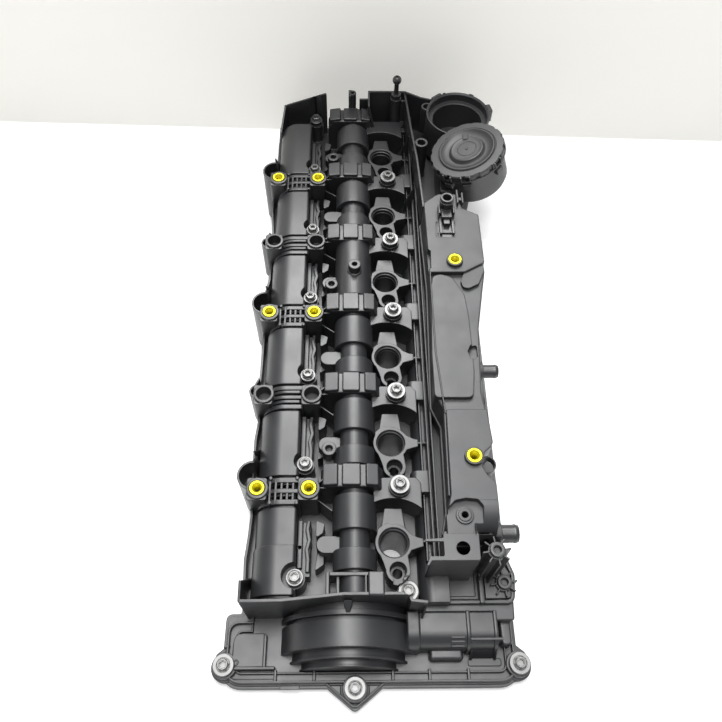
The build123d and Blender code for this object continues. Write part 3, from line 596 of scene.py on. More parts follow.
def left_tunnel(inset):
    """The long tunnel on the left, lower where the saddles cross it."""
    x0, x1, z = tunnel_x0, tunnel_x1, tunnel_z
    forms = [tunnel(x0 + 3, x1 - 1, front_wall_y, tunnel_end_y, z - 4, tunnel_r, 3, inset)]
    if inset:
        return forms
    starts = [y + saddle_l / 2 + 1.5 for y in saddle_ys]
    ends = [y - saddle_l / 2 - 1.5 for y in saddle_ys] + [tunnel_end_y - 2]
    forms.append(tunnel(x0, x1, front_wall_y + 2, -3.5, z, tunnel_r, 2.5))
    forms.append(tunnel(x0 + 0.8, x1, -5, ends[0], z - 1.4, tunnel_r, 2.5, 0, 1.0))
    for start, end in zip(starts, ends[1:]):
        forms.append(tunnel(x0, x1, start, end, z, tunnel_r, 2.5))
    return forms


def lobe_box(y, inset):
    """The faceted box over one cylinder's lobes."""
    x0, x1 = cam_x - lobe_left + inset, cam_x + lobe_right - inset
    top = lobe_z - 3.2 - inset
    low = foot(inset)
    points = [(x1, low), (x1, top - 13), (x1 - 6, top), (x0 + 6, top), (x0, top - 13), (x0, low)]
    if not inset:
        points = rounded(points, [0, 6, 3, 3, 6, 0], 4)
    return profile_y(points, y - lobe_l / 2 + inset, y + lobe_l / 2 - inset, 0 if inset else 1.6)


def lobe_pads(y):
    """The three raised pads on top of a lobe box, the outer ones leaning outwards."""
    forms = []
    for x0, x1, low, lean in ((-60.6, -47.6, 0.6, -9), (-43.8, -27.8, 0.0, 0), (-23.0, -12.0, 0.8, 10)):
        half = (x1 - x0) / 2
        pad = slab(rect(-half, half, -9.8, 9.8), 1.6, 3, -7, 0.0, 1.5, 4)
        middle = Matrix.Translation(((x0 + x1) / 2, y, lobe_z - low))
        forms.append(turned(pad, middle @ Matrix.Rotation(math.radians(lean), 4, "Y")))
    return forms


def cam_tunnel(inset):
    """The tunnel over the left camshaft: drums at the bearings, boxes over the lobes."""
    neck = neck_r - 0.3
    forms = [tunnel(cam_x - neck_r, cam_x + neck_r, front_wall_y, screen_y, neck_z, neck, neck, inset)]
    for y in injector_ys:
        for middle, length, r in ((y + 24.0, 31.0, drum_r), (y - 16.0, 18.0, drum_r - 0.6)):
            y0 = middle - length / 2
            forms.append(tunnel(cam_x - r, cam_x + r, y0, y0 + length, drum_z, r - 0.3, r - 0.3, inset))
        forms.append(lobe_box(y + lobe_dy, inset))
    if not inset:
        y = injector_ys[3]
        forms.append(tunnel(cam_x - drum_r, cam_x + drum_r, y - 25, y + 45, drum_z, 18.7, 18.7))
        forms.append(tube(cam_x + 1.0, y + 4, 6.4, 2.4, drum_z - 6, drum_z + 10, 0.9, 32))
        forms.append(cylinder(cam_x + 1.0, y + 4, 7.4, drum_z - 6, drum_z + 1, 0.8, 32))
    return forms


def right_tunnel(inset):
    """The tunnel over the right camshaft, under the separator's left wall."""
    forms = [tunnel(21, 46, front_wall_y, rear_y, 50, 12, 0.6, inset)]
    forms.append(block(30, 92.5 - inset, sep_y0 + inset, rear_y - inset, foot(inset), 50 - inset, 0))
    for y in injector_ys:
        y0 = y + lobe_dy - lobe_l / 2
        forms.append(tunnel(17, 34, y0, y0 + lobe_l, 62, 7, 3, inset, 1.6))
    return forms


def saddle_plate(y, inset):
    """The flat plate at a right screw, cut round the injector in front of it."""
    x0, x1, r = -17.0, 25.0, 37.0
    if inset:
        x0, x1 = x0 + inset, x1 - inset
        points = [(x1, y + 34), (x1, y + 49), (19, y + 53), (-7.5, y + 53), (x0, y + 42), (x0, y + 40)]
        points += [(-9, y + 40), (0, y + 41), (9, y + 40), (16, y + 37)]
        return prism(points, foot(inset), saddle_plate_z - inset, 0)
    left = math.degrees(math.asin(-x0 / r))
    right = math.degrees(math.asin(x1 / r))
    points = arc(0, y, r, 90 - right, 90 + left, 20)
    points += [(x0, y + 43), (-9, y + 56), (21, y + 56), (x1, y + 51)]
    return prism(points, foot(inset), saddle_plate_z, 0.9)


def volumes(inset):
    """All hollow volumes of the cover."""
    case = prism(case_plan(-inset), foot(inset), case_z - inset, 0)
    forms = [deck(inset), case] + arch(inset) + drive_housing(inset)
    forms += left_tunnel(inset) + cam_tunnel(inset) + right_tunnel(inset)
    return forms + [saddle_plate(y, inset) for y in injector_ys]


def injector_plan(y, grow=0.0):
    """The scalloped top of an injector well in plan, with its ear on the right."""
    r = 16.0 + grow
    points = arc(0, y, r, 38, 96, 8) + arc(0, y, r + 1.6, 108, 142, 6) + arc(0, y, r, 154, 222, 10)
    points += [(-9.4 - grow, y - 17)] + arc(bolt_x, y + bolt_dy, 10.4 + grow, 178, 362, 16)
    points += arc(0, y, r, -44, -24, 4)
    points += [(20.5, y - 4.6 - grow), (25 + grow, y - 3.4 - grow), (25 + grow, y + 3.4 + grow)]
    return points + [(20.5, y + 4.4 + grow), (15.4, y + 7 + grow)]


def injector_plates():
    """The six well tops: a skirt to the deck, a slightly wider plate and a tower behind."""
    forms = []
    for y in injector_ys:
        tower = [(-10.8, y + 11), (10.8, y + 11), (7.8, y + 30.5), (-7.4, y + 30.5)]
        forms.append(prism(injector_plan(y, -0.8), deck_z - 1, injector_z - 3, 0))
        forms.append(prism(injector_plan(y), injector_z - 9, injector_z, 0.8))
        forms.append(slab(tower, [0, 0, 1.5, 1.5], 3, deck_z - 1, injector_z - 2.0, 0.9))
    return forms


def saddle_forms():
    """The boss pairs, bands and ribs of the saddles."""
    x0, x1, z = tunnel_x0, tunnel_x1, tunnel_z
    forms = []
    for y in saddle_ys:
        for x in (saddle_left_x, saddle_right_x):
            forms.append(cylinder(x, y, 9.5, deck_z - 2, saddle_z, 0.8))
            plate = rect(x - 9.5, x + 8, y - 10, y + 10)
            forms.append(slab(plate, 2.5, 3, deck_z - 2, saddle_z - 2.4, 0.6))
        for step, width in ((-1, 4.4), (0, 3.6), (1, 4.4)):
            y0 = y + step * 9.8 - width / 2
            forms.append(tunnel(x0 + 1, x1 + 2, y0, y0 + width, z - 0.2, tunnel_r, 2, 0, 0.7))
        if y in open_ys:
            for y0 in (y - 6.5, y + 3.5):
                forms.append(tunnel(x0 + 3, x1, y0, y0 + 3, z + 0.8, tunnel_r, 2, 0, 0.7))
            continue
        for x in (-106, -101, -96, -91, -86):
            forms.append(block(x - 1.0, x + 1.0, y - 11, y + 11, deck_z, z - 0.9, 0.3))
        for x in (saddle_left_x + 10.5, saddle_right_x - 10.5):
            for v in (-11.0, 11.0):
                forms.append(cylinder(x, y + v, 1.6, deck_z, z + 1.6, 0.4, 14))
    low = deck_z - 1
    for y in saddle_ys:
        x = saddle_right_x + 6
        forms.append(strip([(x, y + 1.6), (cam_x - 4, y + 1.6)], 1.2, low, [saddle_z - 5, saddle_z - 3]))
        forms.append(strip([(x, y + 6), (x + 7, y + 12)], 1.3, low, saddle_z - 8))
        forms.append(strip([(x, y - 5), (cam_x - 19, y - 16.5)], 1.2, low, [saddle_z - 14, saddle_z - 12]))
    return forms


def rim_forms():
    """The upright wall along the left edge, with its pockets, hooks and spikes."""
    line = [(-124, -46), (-125.4, -11), (-123.5, 10), (-122.6, 28), (-124, 40), (-124, 100), (-122, 118)]
    line += [(-124.6, 141), (-123.4, 174), (-123.2, 221), (-126.5, 258), (-121.8, 284), (-120.6, 339)]
    line += [(-124.4, 383), (-120.4, 463), (-119.4, 514), (-119, screen_y)]
    forms = [strip(line, 2.2, 30.0, rim_z)]
    forms.append(strip([(x + 3.2, y) for x, y in line], 5.0, 20.0, deck_z + 3, 1.0))
    x = saddle_left_x - 5.0
    for y in insert_ys:
        ear = arc(x, y + 12.4, 12.4, -84, -270, 22)
        highs = [saddle_z - 2] * len(ear) + [saddle_z - 10]
        forms.append(strip(ear + [(x + 1.4, y + 33)], 1.9, flange_top, highs))
        forms.append(strip([(x - 1, y + 36), (x + 1.6, y + 46)], 1.6, deck_z, [saddle_z - 6, rim_z + 2]))
        forms.append(prism(arc(x, y + 12.4, 12.6, 90, 270, 16) + [(x + 2, y)], flange_top, rim_z - 6, 0.8))
    for y in open_ys:
        ear = [(x + 1, y + 2)] + arc(x - 4, y + 12, 6.4, -70, -250, 14) + [(-123.5, y + 26)]
        forms.append(strip(ear, 1.7, flange_top, rim_z + 9))
    return forms


def side_bar_forms():
    """The two raised wavy bars beside each left screw, and the low blocks by the drums."""
    forms = []
    low = deck_z - 1
    for _, y in left_screws[:-1]:
        a = y + 9.0
        b = min(y + 50.0, 512.0)
        outer = [(-72.6, a - 3), (-72.4, a + 8), (-73.6, a + 16), (-71.6, a + 24), (-73.4, a + 33)]
        forms.append(strip([(-79.4, a), (-79.4, b)], 4.4, low, rim_z + 6, 0.9))
        forms.append(strip(outer + [(-72.2, b)], 3.4, low, rim_z + 5, 0.9))
        forms.append(block(-81.5, -70.5, a - 6, b, low, rim_z + 1, 0.6))
        rear = [(-66, b - 16), (-60, b - 12), (-58.5, b - 4), (-66, b - 1)]
        front = [(-67, a - 2), (-59, a + 4), (-59, a + 12), (-64, a + 16)]
        forms.append(slab(rear, 1.5, 3, low, rim_z + 8, 0.9))
        forms.append(slab(front, 1.5, 3, low, rim_z + 2, 0.9))
    return forms


def front_box_forms():
    """The open box at the front end of the cam tunnel, with rings round its bore."""
    x0, x1 = cam_x - 23.5, cam_x + 23.5
    y0, y1 = front_wall_y, front_wall_y + 19
    low = deck_z - 1
    forms = [
        block(x0, x0 + 3, y0, y1, low, lobe_z - 5, 0.7),
        block(x1 - 13, x1, y0, y1, low, lobe_z - 3, 1.5, 3),
        block(x0, x1, y1 - 3, y1, low, lobe_z - 6, 0.7),
        block(x0, x1, y0, y1, low, 50, 0.5),
    ]
    for y, r in ((y0 + 3, 12.5), (y0 + 7.5, 12.5), (y0 + 13, 14.5)):
        ring = lathe(0, 0, [(r - 3, 0), (r, 0), (r, 2.2), (r - 3, 2.2)], 40)
        forms.append(along_y(ring, cam_x + 1, 58, y))
    forms.append(block(cam_x - 15, cam_x - 12.6, y0, y0 + 17, 45, 70, 0.4))
    forms.append(block(cam_x + 8, cam_x + 9.6, y0, y0 + 17, 45, 74, 0.4))
    return forms


def neck_forms():
    """The stadium-shaped bosses beside the necks, and the holed bosses of every other one."""
    forms = []
    for i, y in enumerate(injector_ys):
        pad = arc(-58, y - 1.5, 7.4, 90, 270, 14)
        pad += [(-50, y - 8.9), (cam_x - 9, y - 7.4), (cam_x - 9, y + 4.6), (-50, y + 5.9)]
        forms.append(prism(pad, deck_z - 1, 62.5, 1.0))
        if i % 2:
            forms.append(tube(-55.5, y - 9.5, 6.6, 3.0, 62, 72, 0.9, 32))
            forms.append(cylinder(-55.5, y - 9.5, 6.2, deck_z - 1, 66, 0.4, 32))
            forms.append(slab(rect(-61, -50, y - 26, y - 10), 2, 3, deck_z - 1, 58, 0.8))
    return forms


def front_wall_forms():
    """The upright screen between the timing end and the tunnels."""
    top = front_wall_z
    line = [(-124.4, -49.4), (-108, -49.4), (-90, -49.0), (-42, -44.4), (11.5, -44.4)]
    forms = [
        strip(line, 2.6, flange_top, top, 0.5),
        strip([(10.5, -44.6), (12.5, -48.2), (25.4, -49.6)], 2.6, flange_top, top - 7, 0.5),
        strip([(25.0, -49.6), (22.6, -56.0)], 1.6, flange_top, [top - 7, 40], 0.4),
        strip([(-124.4, -50.0), (-124.0, -34.5)], 2.0, flange_top, [top, top + 4], 0.4),
        strip([(-124.0, -35.0), (-117, -24)], 1.6, deck_z, [top + 3, rim_z - 6], 0.4),
    ]
    gusset = [(-42.0, -47, 50), (-35.0, -47, 50), (-36.9, -55.4, 50), (-40.1, -55.4, 50)]
    gusset += [(-42.0, -47, 66), (-35.0, -47, 66), (-36.9, -55.4, 59), (-40.1, -55.4, 59)]
    sides = [[i, (i + 1) % 4, 4 + (i + 1) % 4, 4 + i] for i in range(4)]
    forms.append(form(gusset, [[0, 1, 2, 3], [4, 5, 6, 7]] + sides, 0.7))
    forms.append(block(-125, -96, -50.5, front_wall_y + 2, flange_bottom, deck_z + 2, 0.8))
    return forms


def timing_forms():
    """The flange rim, ribs, ears and panels of the timing end."""
    forms = [strip(case_plan(-0.6), 1.8, flange_bottom, 16.5, 0.5)]
    forms.append(strip(case_plan(-7.5), 1.6, 9.0, 15.0, 0.5))
    low = [p for p in flange_plan(1.6) if p[1] < -30]
    forms.append(prism(low, flange_bottom, flange_top + 2.4, 0.7))
    for x in (-98.7, -66.6, -1.5, 29.1, 61.4):
        forms.append(block(x - 1.1, x + 1.1, -101, -92, flange_top, 16.0, 0.5))
    forms += [
        slab(rect(-135.0, -107.6, -90.0, -63.6), [1, 1, 3, 8], 4, 9, 17.0, 0.8),
        block(-109.4, -107.0, -90.0, -65.0, 9, 18.2, 0.6),
        block(-136.0, -99.0, -92.4, -89.6, 9, 18.4, 0.9, 3),
        block(-136.0, -99.0, -99.0, -91.0, 8, 11.5, 0.8),
        tube(-131.6, -86.4, 2.4, 1.3, 16, 18.2, 0.3, 20),
        block(-143.0, -138.0, -74.6, -72.4, flange_top, 15.0, 0.5),
    ]
    for x, y, z in front_screws:
        forms.append(cylinder(x, y, 10.4, flange_bottom, z - 4, 0.8))
        forms.append(cylinder(x, y, 12.2, flange_bottom, flange_top + 1, 0.8))
    for side, (x, y, z) in ((-1, front_screws[0]), (1, front_screws[2])):
        ear = [(9, 10), (11.6, -2), (6, -11), (-16, -15.6), (-6, 22)]
        ear = [(x + side * dx, y + dy) for dx, dy in ear]
        forms.append(slab(ear, [5, 6, 6, 0, 0], 5, flange_bottom, flange_top, 0.9))
    x, y, z = front_screws[1]
    ear = [(x - 30, -100.5), (x, y - 17), (x + 30, -100.5)]
    edge = [(x - 25, -101.5), (x - 2, y - 12.4), (x + 2, y - 12.4), (x + 25, -101.5)]
    forms.append(slab(ear, [2, 5, 2], 6, flange_bottom, flange_top, 0.9))
    forms.append(strip(edge, 1.6, flange_top - 1, 13, 0.5))
    forms.append(block(x - 62, x - 46, -106.6, -103, flange_top - 1, flange_top + 1.2, 0.4))
    return forms + drive_details()


def drive_details():
    """The bar, louvres, hood and pads in front of the lying housing."""
    forms = [block(62.0, 89.0, -73.6, -71.4, 20, 37.2, 0.7)]
    for y, z in ((-71.0, 35.8), (-74.0, 33.9), (-77.0, 30.6)):
        forms.append(block(46.5, 57.5, y - 0.6, y + 0.6, 16, z, 0.3))
    forms.append(profile_x([(-72.8, 34), (-84, 12), (-84, 8), (-70, 8)], 65.0, 84.0, 0.6))
    for x0 in (63.2, 83.4):
        forms.append(profile_x([(-72.0, 36), (-85.4, 15), (-85.4, 8), (-70, 8)], x0, x0 + 1.8, 0.4))
    forms.append(block(29.0, 57.5, -86.4, -74.0, 8, 21.0, 3.0, 4))
    forms.append(slab([(89.4, -76), (98.8, -76), (98.8, -51), (88.6, -51)], 4.6, 5, 9, 25, 2.2, 4))
    forms.append(slab(rect(62.0, 90.0, -90, -84), 2, 3, 9, 12.0, 0.6))
    return forms


def star_boss(x, y, z0, z1):
    """A hollow boss with eight thin ribs round it."""
    forms = [tube(x, y, 6.0, 3.0, z1 - 9, z1, 0.6, 32), cylinder(x, y, 5.6, z0, z1 - 5, 0.3, 32)]
    forms.append(tube(x, y, 7.0, 5.0, z0, z1 - 4, 0.3, 32))
    for i in range(8):
        a = math.radians(i * 45 + 8)
        ends = [(x + r * math.cos(a), y + r * math.sin(a)) for r in (4, 11.5)]
        forms.append(strip(ends, 1.4, z0, z1 - 3.5, 0.3))
    return forms


def front_corner_forms():
    """The tray, the bracket and the bosses at the separator's front end."""
    tray = [(35, -3), (35, -45.8), (102.0, -45.8), (104.4, -22), (98, -3)]
    shelf = [(21.6, -40), (21.6, -50.5), (29.5, -57.8), (100.6, -57.8), (101.5, -40)]
    lip = [(37.2, -4), (37.2, -43.6), (99.8, -43.6), (102.2, -22), (96, -4)]
    left_pad = [(44.4, -8), (44.4, -38.4), (69.4, -38.4), (69.4, -8)]
    right_pad = [(77, -8), (77, -41), (99, -41), (99.6, -20), (93, -8)]
    plate = [(22.0, -8.4), (22.0, -10.2), (36.6, -10.4), (36.6, -21.8), (25.4, -21.8), (22.4, -28.8)]
    plate += [(24.2, -29.0), (26.6, -25.2), (64.8, -25.2), (65.0, -4.0), (36.6, -4.0), (36.6, -7.4)]
    forms = [
        slab(tray, [0, 7, 7, 9, 0], 6, 6, 29, 0.8),
        slab(shelf, [0, 2, 4, 3, 0], 5, 6, 34.5, 1.4, 3),
        strip(rounded(lip, [0, 6, 6, 9, 0], 6), 3.4, 20, 39.5, 0.8),
        slab(left_pad, [0, 4, 1, 0], 5, 20, 35.0, 1.0),
        slab(right_pad, [0, 1, 4, 4, 0], 4, 20, 38.6, 0.9),
    ]
    forms += star_boss(93, -29, 34, 47) + star_boss(78.5, -17, 34, 101)
    forms += [
        slab(plate, [0, 0, 0, 1, 0, 0, 0, 0, 2, 0, 0, 0], 4, 97.6, 100, 0.4),
        strip([(26.0, -24.4), (64.4, -24.2)], 1.8, 32, 99, 0.4),
        block(61, 64.6, -25, sep_y0 + 3, 30, 99, 0.5),
        block(37.4, 40.0, -25, sep_y0 + 3, 60, 99, 0.5),
        block(26.5, 33.5, -31, -16, 34, 40.5, 0.7),
        block(71.6, 75.8, -45.4, -10, 22, 42.5, 0.8),
    ]
    return forms


def rear_forms():
    """The upright screens, the stud post and the walls at the rear."""
    y1, y0 = screen_y, screen_y - 2.4
    x, y = stud_xy
    forms = [
        profile_y(rounded([(-114, 20), (-64, 20), (-64, 94), (-114, 76)], [0, 0, 2, 4], 4), y0, y1, 0.5),
        profile_y(rounded([(-15, 20), (29, 20), (29, 97), (-14, 97)], [0, 0, 2, 2], 4), y0, y1, 0.5),
        block(-25, -13, y0, y1, 20, 86, 0.6),
        strip([(28, y1 - 1), (46, 515), (60, 507)], 2.4, 50, [97, 99, 102], 0.5),
        block(-38, -34.5, y0 - 9, y1, 20, 98, 0.8),
        block(-32, -29, y0 - 6, y1, 20, 94, 0.8),
        tube(-33.5, y0 - 4, 4.4, 2.0, 60, 99, 0.6, 24),
        strip([(-119, 496), (-114, y1)], 2.2, 20, [62, 76], 0.4),
        strip([(28.4, y1), (33, 470), (37.6, 420), (41, sep_y1 + 4)], 2.4, 44, 95, 0.5),
        strip([(-14, y1), (-14, 507), (-6, 498)], 2.0, 40, [97, 92, 60], 0.4),
        cylinder(x, y, 6.5, 20, 96, 0.6, 32),
        strip([(x, y), (x, y1)], 3.0, 20, 92, 0.4),
        strip([(x, y), (29, y)], 3.0, 20, 92, 0.4),
        tube(43.5, 441, 7.2, 4.4, 46, 98, 0.7, 32),
        block(34, 41, 436, 444, 46, 90, 0.5),
    ]
    return forms + [strip([(24, v), (34, v)], 1.8, 40, [58, 88], 0.4) for v in (385, 470, 505)]


def channel_forms():
    """The thin ribs along the channel beside the separator."""
    long_ribs = ((27.4, 56), (32.2, 66), (36.4, 66))
    forms = [block(x, x + 1.6, -14, rear_y - 10, 44, z, 0.4) for x, z in long_ribs]
    return forms + [block(24, 33, y + 2, y + 3.6, 40, 56, 0.3) for y in injector_ys]


def columns():
    """What stands in the space under the cover: wells and screw columns."""
    low = flange_bottom
    forms = []
    for y in injector_ys:
        forms.append(disc(0, y, injector_r + 4, low, injector_z - 1, 32))
        forms.append(disc(bolt_x, y + bolt_dy, 9.2, low, injector_z - 1, 24))
    forms += [disc(x, y, 8.4, low, left_screw_z - 4, 24) for x, y in left_screws]
    return forms + [disc(x, y, 9.4, low, z - 4, 24) for x, y, z in right_screws]


def outline(grow):
    """The gasket's line in plan, grown by an amount."""
    x0, x1 = left_x - grow, right_x + grow
    a0, a1 = gasket_left_x - grow, case_right_x + grow
    y0, ym, y1 = case_front_y - grow, case_step_y + grow, rear_y + grow
    points = [(x1, ym), (x1, y1), (x0, y1), (x0, ym), (a0, ym), (a0, y0), (a1, y0), (a1, ym)]
    return rounded(points, [0, 3, 3, 0, 0, corner_r + grow, corner_r + grow, 0], 8)


def flange_plan(grow):
    """The flange's outer edge in plan."""
    x0, x1, step_x = left_x - grow, right_x + grow, -126.8 - grow
    a0, a1 = case_left_x - grow, case_right_x + grow
    y0, yc, ym, y1 = case_front_y - grow, flange_back_y + grow, case_step_y + grow, rear_y + grow
    points = [(x1, ym), (x1, y1), (x0, y1), (x0, ym), (step_x, ym), (step_x, yc)]
    points += [(a0, yc), (a0, y0), (a1, y0), (a1, ym)]
    return rounded(points, [0, 3, 3, 0, 1, 2, back_corner_r + grow, corner_r + grow, corner_r + grow, 0], 8)


def mouth(x, y, r, z, cut=0.5, steps=40):
    """A cutter that breaks the edge of a round hole at a height."""
    return lathe(x, y, [(0, z - cut), (r, z - cut), (r + cut, z), (r + cut, z + 1), (0, z + 1)], steps)


def cover_holes():
    """Everything that is cut from the cover."""
    r, z = injector_r, injector_z
    well = [(0, -5), (r, -5), (r, z - 7), (r + 0.6, z - 6.6), (r + 0.6, z - 3), (r + 1.6, z - 2.6)]
    well += [(r + 1.6, z - 0.6), (r + 2.3, z), (r + 2.3, z + 6), (0, z + 6)]
    bolt = [(0, -5), (4.2, -5), (4.2, 50), (6.4, 50), (6.8, 61.6), (7.3, 62), (7.3, 68), (0, 68)]
    slot_plan = [(-4.4, -36), (4.4, -36), (4.0, -25), (-4.0, -25)]
    forms = []
    for y in injector_ys:
        slot = [(bolt_x + dx, y + dy) for dx, dy in slot_plan]
        forms += [lathe(0, y, well, 56), lathe(bolt_x, y + bolt_dy, bolt, 32), prism(slot, 54, 70, 0)]
    for x, y in left_screws + [(x, y) for x, y, z in right_screws + front_screws]:
        forms.append(disc(x, y, screw_hole_r, -5, 120))
    for y in saddle_ys:
        for x in (saddle_left_x, saddle_right_x):
            forms.append(disc(x, y, insert_hole_r, 64.8, 90, 32))
            forms.append(mouth(x, y, insert_hole_r, saddle_z))
    for y in insert_ys:
        for row in (y - 5.2, y + 5.2):
            for x in (-103.5, -98.5, -93.5, -88.5):
                forms.append(block(x - 1.4, x + 1.4, row - 1.7, row + 1.7, 60, 80, 0))
    forms.append(disc(*stud_xy, 3.25, 84, 98))
    forms += [disc(x, y, 4, 30, 60) for x, y in drain_spots]
    forms.append(disc(*side_pin_xy, 1.6, 40, 70, 20))
    forms.append(disc(*bracket_hole_xy, bracket_hole_r, 90, 105, 40))
    return forms


def inner_space():
    """The space under the cover, as one cutter."""
    return combined("space", [("UNION", volumes(wall)), ("DIFFERENCE", screw_notches(wall))])


def cover():
    """The whole moulded cover as one closed form."""
    outer = volumes(0.0) + injector_plates() + saddle_forms() + rim_forms() + side_bar_forms()
    outer += front_box_forms() + [pad for y in injector_ys for pad in lobe_pads(y + lobe_dy)]
    outer += neck_forms() + front_wall_forms() + timing_forms() + front_corner_forms()
    outer += rear_forms() + channel_forms()
    lip = prism(flange_plan(flange_out), flange_bottom, flange_top, 0.9)
    lip_cut = prism(outline(-flange_width), flange_bottom - 9, flange_top - 2, 0)
    groove_out = prism(outline(-groove_outer), -3, groove_z, 0)
    groove_in = prism(outline(-groove_inner), -4, groove_z + 1, 0)
    flange = combined("flange", [("UNION", [lip]), ("DIFFERENCE", [lip_cut])])
    groove = combined("groove", [("UNION", [groove_out]), ("DIFFERENCE", [groove_in])])
    trough = slab(separator_plan, 3.0, 3, 49, weld_z, 0.6)
    tray_space = prism(grown(separator_plan, -3.5), 52, weld_z + 5, 0)
    steps = [("UNION", outer), ("DIFFERENCE", screw_notches(0.0)), ("DIFFERENCE", [inner_space()])]
    steps += [("UNION", [flange, trough] + columns()), ("DIFFERENCE", [tray_space, groove] + cover_holes())]
    return combined("cover", steps)


def hexagon(x, y, r, turn):
    """A hexagon in plan whose first corner stands at a turn in degrees."""
    turns = [math.radians(60 * i + turn) for i in range(6)]
    return [(x + r * math.cos(a), y + r * math.sin(a)) for a in turns]


def screw(x, y, z, washer_r):
    """A captive screw: ringed washer, hexagon head with a socket, and shank."""
    r = washer_r
    top = z + 5.8
    rings = [(0, z - 0.2), (r, z - 0.2), (r, z + 1.0), (r - 0.4, z + 1.4), (5.9, z + 1.4), (5.6, z + 1.0)]
    rings += [(5.3, z + 1.0), (5.0, z + 1.9), (0, z + 1.9)]
    sides = prism(hexagon(x, y, 5.0, 17 * x), z + 1, top, 0.35)
    socket = prism(hexagon(x, y, 2.7, 9 * y), top - 3.2, top, 0)
    shank = lathe(x, y, [(0, 1.5), (2.4, 1.5), (3.0, 3.0), (3.0, z), (0, z)], 20)
    dish = lathe(x, y, [(0, top - 0.6), (2.9, top - 0.6), (3.8, top + 1), (0, top + 1)], 28)
    crown = lathe(x, y, [(0, z), (5.6, z), (5.6, top - 1.2), (3.9, top), (0, top)], 28)
    head = combined("head", [("UNION", [sides]), ("INTERSECT", [crown])])
    steps = [("UNION", [lathe(x, y, rings, 44), head, shank]), ("DIFFERENCE", [dish, socket])]
    return combined("screw", steps)


def grommet(x, y, z, washer_r):
    """The rubber round a screw's sleeve, with a lip under the washer."""
    r = washer_r - 0.5
    profile = [(4.45, z - 16), (6.0, z - 16), (6.0, z - 3.9), (r - 0.5, z - 3.9), (r, z - 3.4)]
    profile += [(r - 0.5, z - 2.0), (r, z - 0.8), (r - 0.5, z - 0.25), (4.45, z - 0.25)]
    return lathe(x, y, profile, 36)


def insert(x, y, top):
    """A brass threaded insert with a chamfered mouth and turned grooves."""
    profile = [(2.6, top - 13), (6.4, top - 13), (6.6, top - 12.4), (6.6, top - 0.5), (6.1, top)]
    profile += [(4.5, top), (4.2, top - 0.3), (3.2, top - 1.5)]
    for i in range(8):
        profile += [(3.1, top - 1.9 - i * 1.2), (2.6, top - 2.5 - i * 1.2)]
    return lathe(x, y, profile, 40)


def fasteners():
    """Screws, grommets and inserts, each row as one piece."""
    rows = (
        ("left", [(x, y, left_screw_z) for x, y in left_screws], left_washer_r),
        ("right", right_screws, right_washer_r),
        ("front", front_screws, front_washer_r),
    )
    for name, spots, washer_r in rows:
        screws = joined([screw(*spot, washer_r) for spot in spots])
        finished(f"{name}_screws_skin", screws, "zinc_steel", [f"{name}_screws"])
        rings = joined([grommet(*spot, washer_r) for spot in spots])
        finished(f"{name}_grommets_skin", rings, "rubber", [f"{name}_grommets"])
    spots = [(x, y) for y in insert_ys for x in (saddle_left_x, saddle_right_x)]
    saddle = joined([insert(x, y, saddle_z + 0.8) for x, y in spots])
    finished("saddle_inserts_skin", saddle, "brass", ["saddle_inserts"])
    separator = joined([insert(x, y, separator_insert_z) for x, y in separator_spots])
    finished("separator_inserts_skin", separator, "brass", ["separator_inserts"])


def nipple_collars():
    """The round seats of the two hose nipples in the lid's side."""
    forms = []
    for y, r in nipple_spots:
        collar = cylinder(0, 0, r + 3.0, 0, 8.4, 0.8, 36)
        forms.append(along_x(collar, y, nipple_z, nipple_root_x + 2))
    return forms


def lid_volumes():
    """The lid's steps: the low middle, the high plates at both ends and the oblong pad."""
    rear = [(40.9, 252.6), (75.5, 253.0), (95.6, 265.0), (95.6, 327.6), (79, 336.2), (77, 355.6)]
    rear += [(55, 355.6), (40, 343)]
    corner = [(74.4, 253.5), (95.0, 264.0), (94.4, 256.0), (88.0, 240.5), (77.5, 234.6), (72.2, 236.4)]
    corner.append((70.6, 243.6))
    front = [(44.6, 27), (46, 103.6), (81.6, 103.6), (83.6, 72.8), (81.7, 68.4), (76.0, 63.6), (73.0, 57.4)]
    front += [(72.8, 50.4), (76.2, 43.4), (82.6, 36.6), (82.6, 13), (80.6, sep_y0), (50, sep_y0)]
    front += [(41.2, 5), (42.2, 17.5)]
    pad = [(37.2, 115.7), (71.6, 115.7), (74.6, 142), (75.0, 170), (74.8, 204), (73.0, 226), (62.8, 247.7)]
    pad += [(51.4, 251.6), (43.6, 249.0), (42.0, 240), (40.4, 221), (37.4, 161)]
    forms = [
        slab(separator_plan, 4.0, 4, weld_z, 99.0, 1.6, 3),
        slab(grown(separator_plan, 1.5), 3.0, 3, weld_z, weld_z + 4, 0.8),
        slab(rear, [1.5, 5, 2, 3, 7, 3, 8, 3], 5, 90, lid_z, 1.2, 3),
        slab(corner, [2, 1, 3, 4, 5, 4, 3], 4, 88, 102.6, 1.4, 3),
        slab(front, [1, 2, 2, 2, 2, 4, 4, 4, 4, 4, 3, 3, 2, 2, 1], 4, 90, lid_z, 1.0, 3),
        slab(pad, [5, 6, 4, 4, 6, 9, 10, 8, 6, 4, 4, 4], 5, 90, 103.4, 0.9, 3),
        strip([(41.6, 273), (41.0, 218), (40.9, 163), (45.4, 100)], 1.3, 90, 104.6, 0.4),
        block(45, 62, 125.6, 128.2, 100, 103.4, 0.4),
        block(40.4, 63.0, sep_y0 - 1.2, 12, 90, 98.6, 0.6),
    ]
    forms += nipple_collars()
    top = separator_insert_z - 0.4
    return forms + [cylinder(x, y, 8.0, 90, top, 0.6) for x, y in separator_spots]


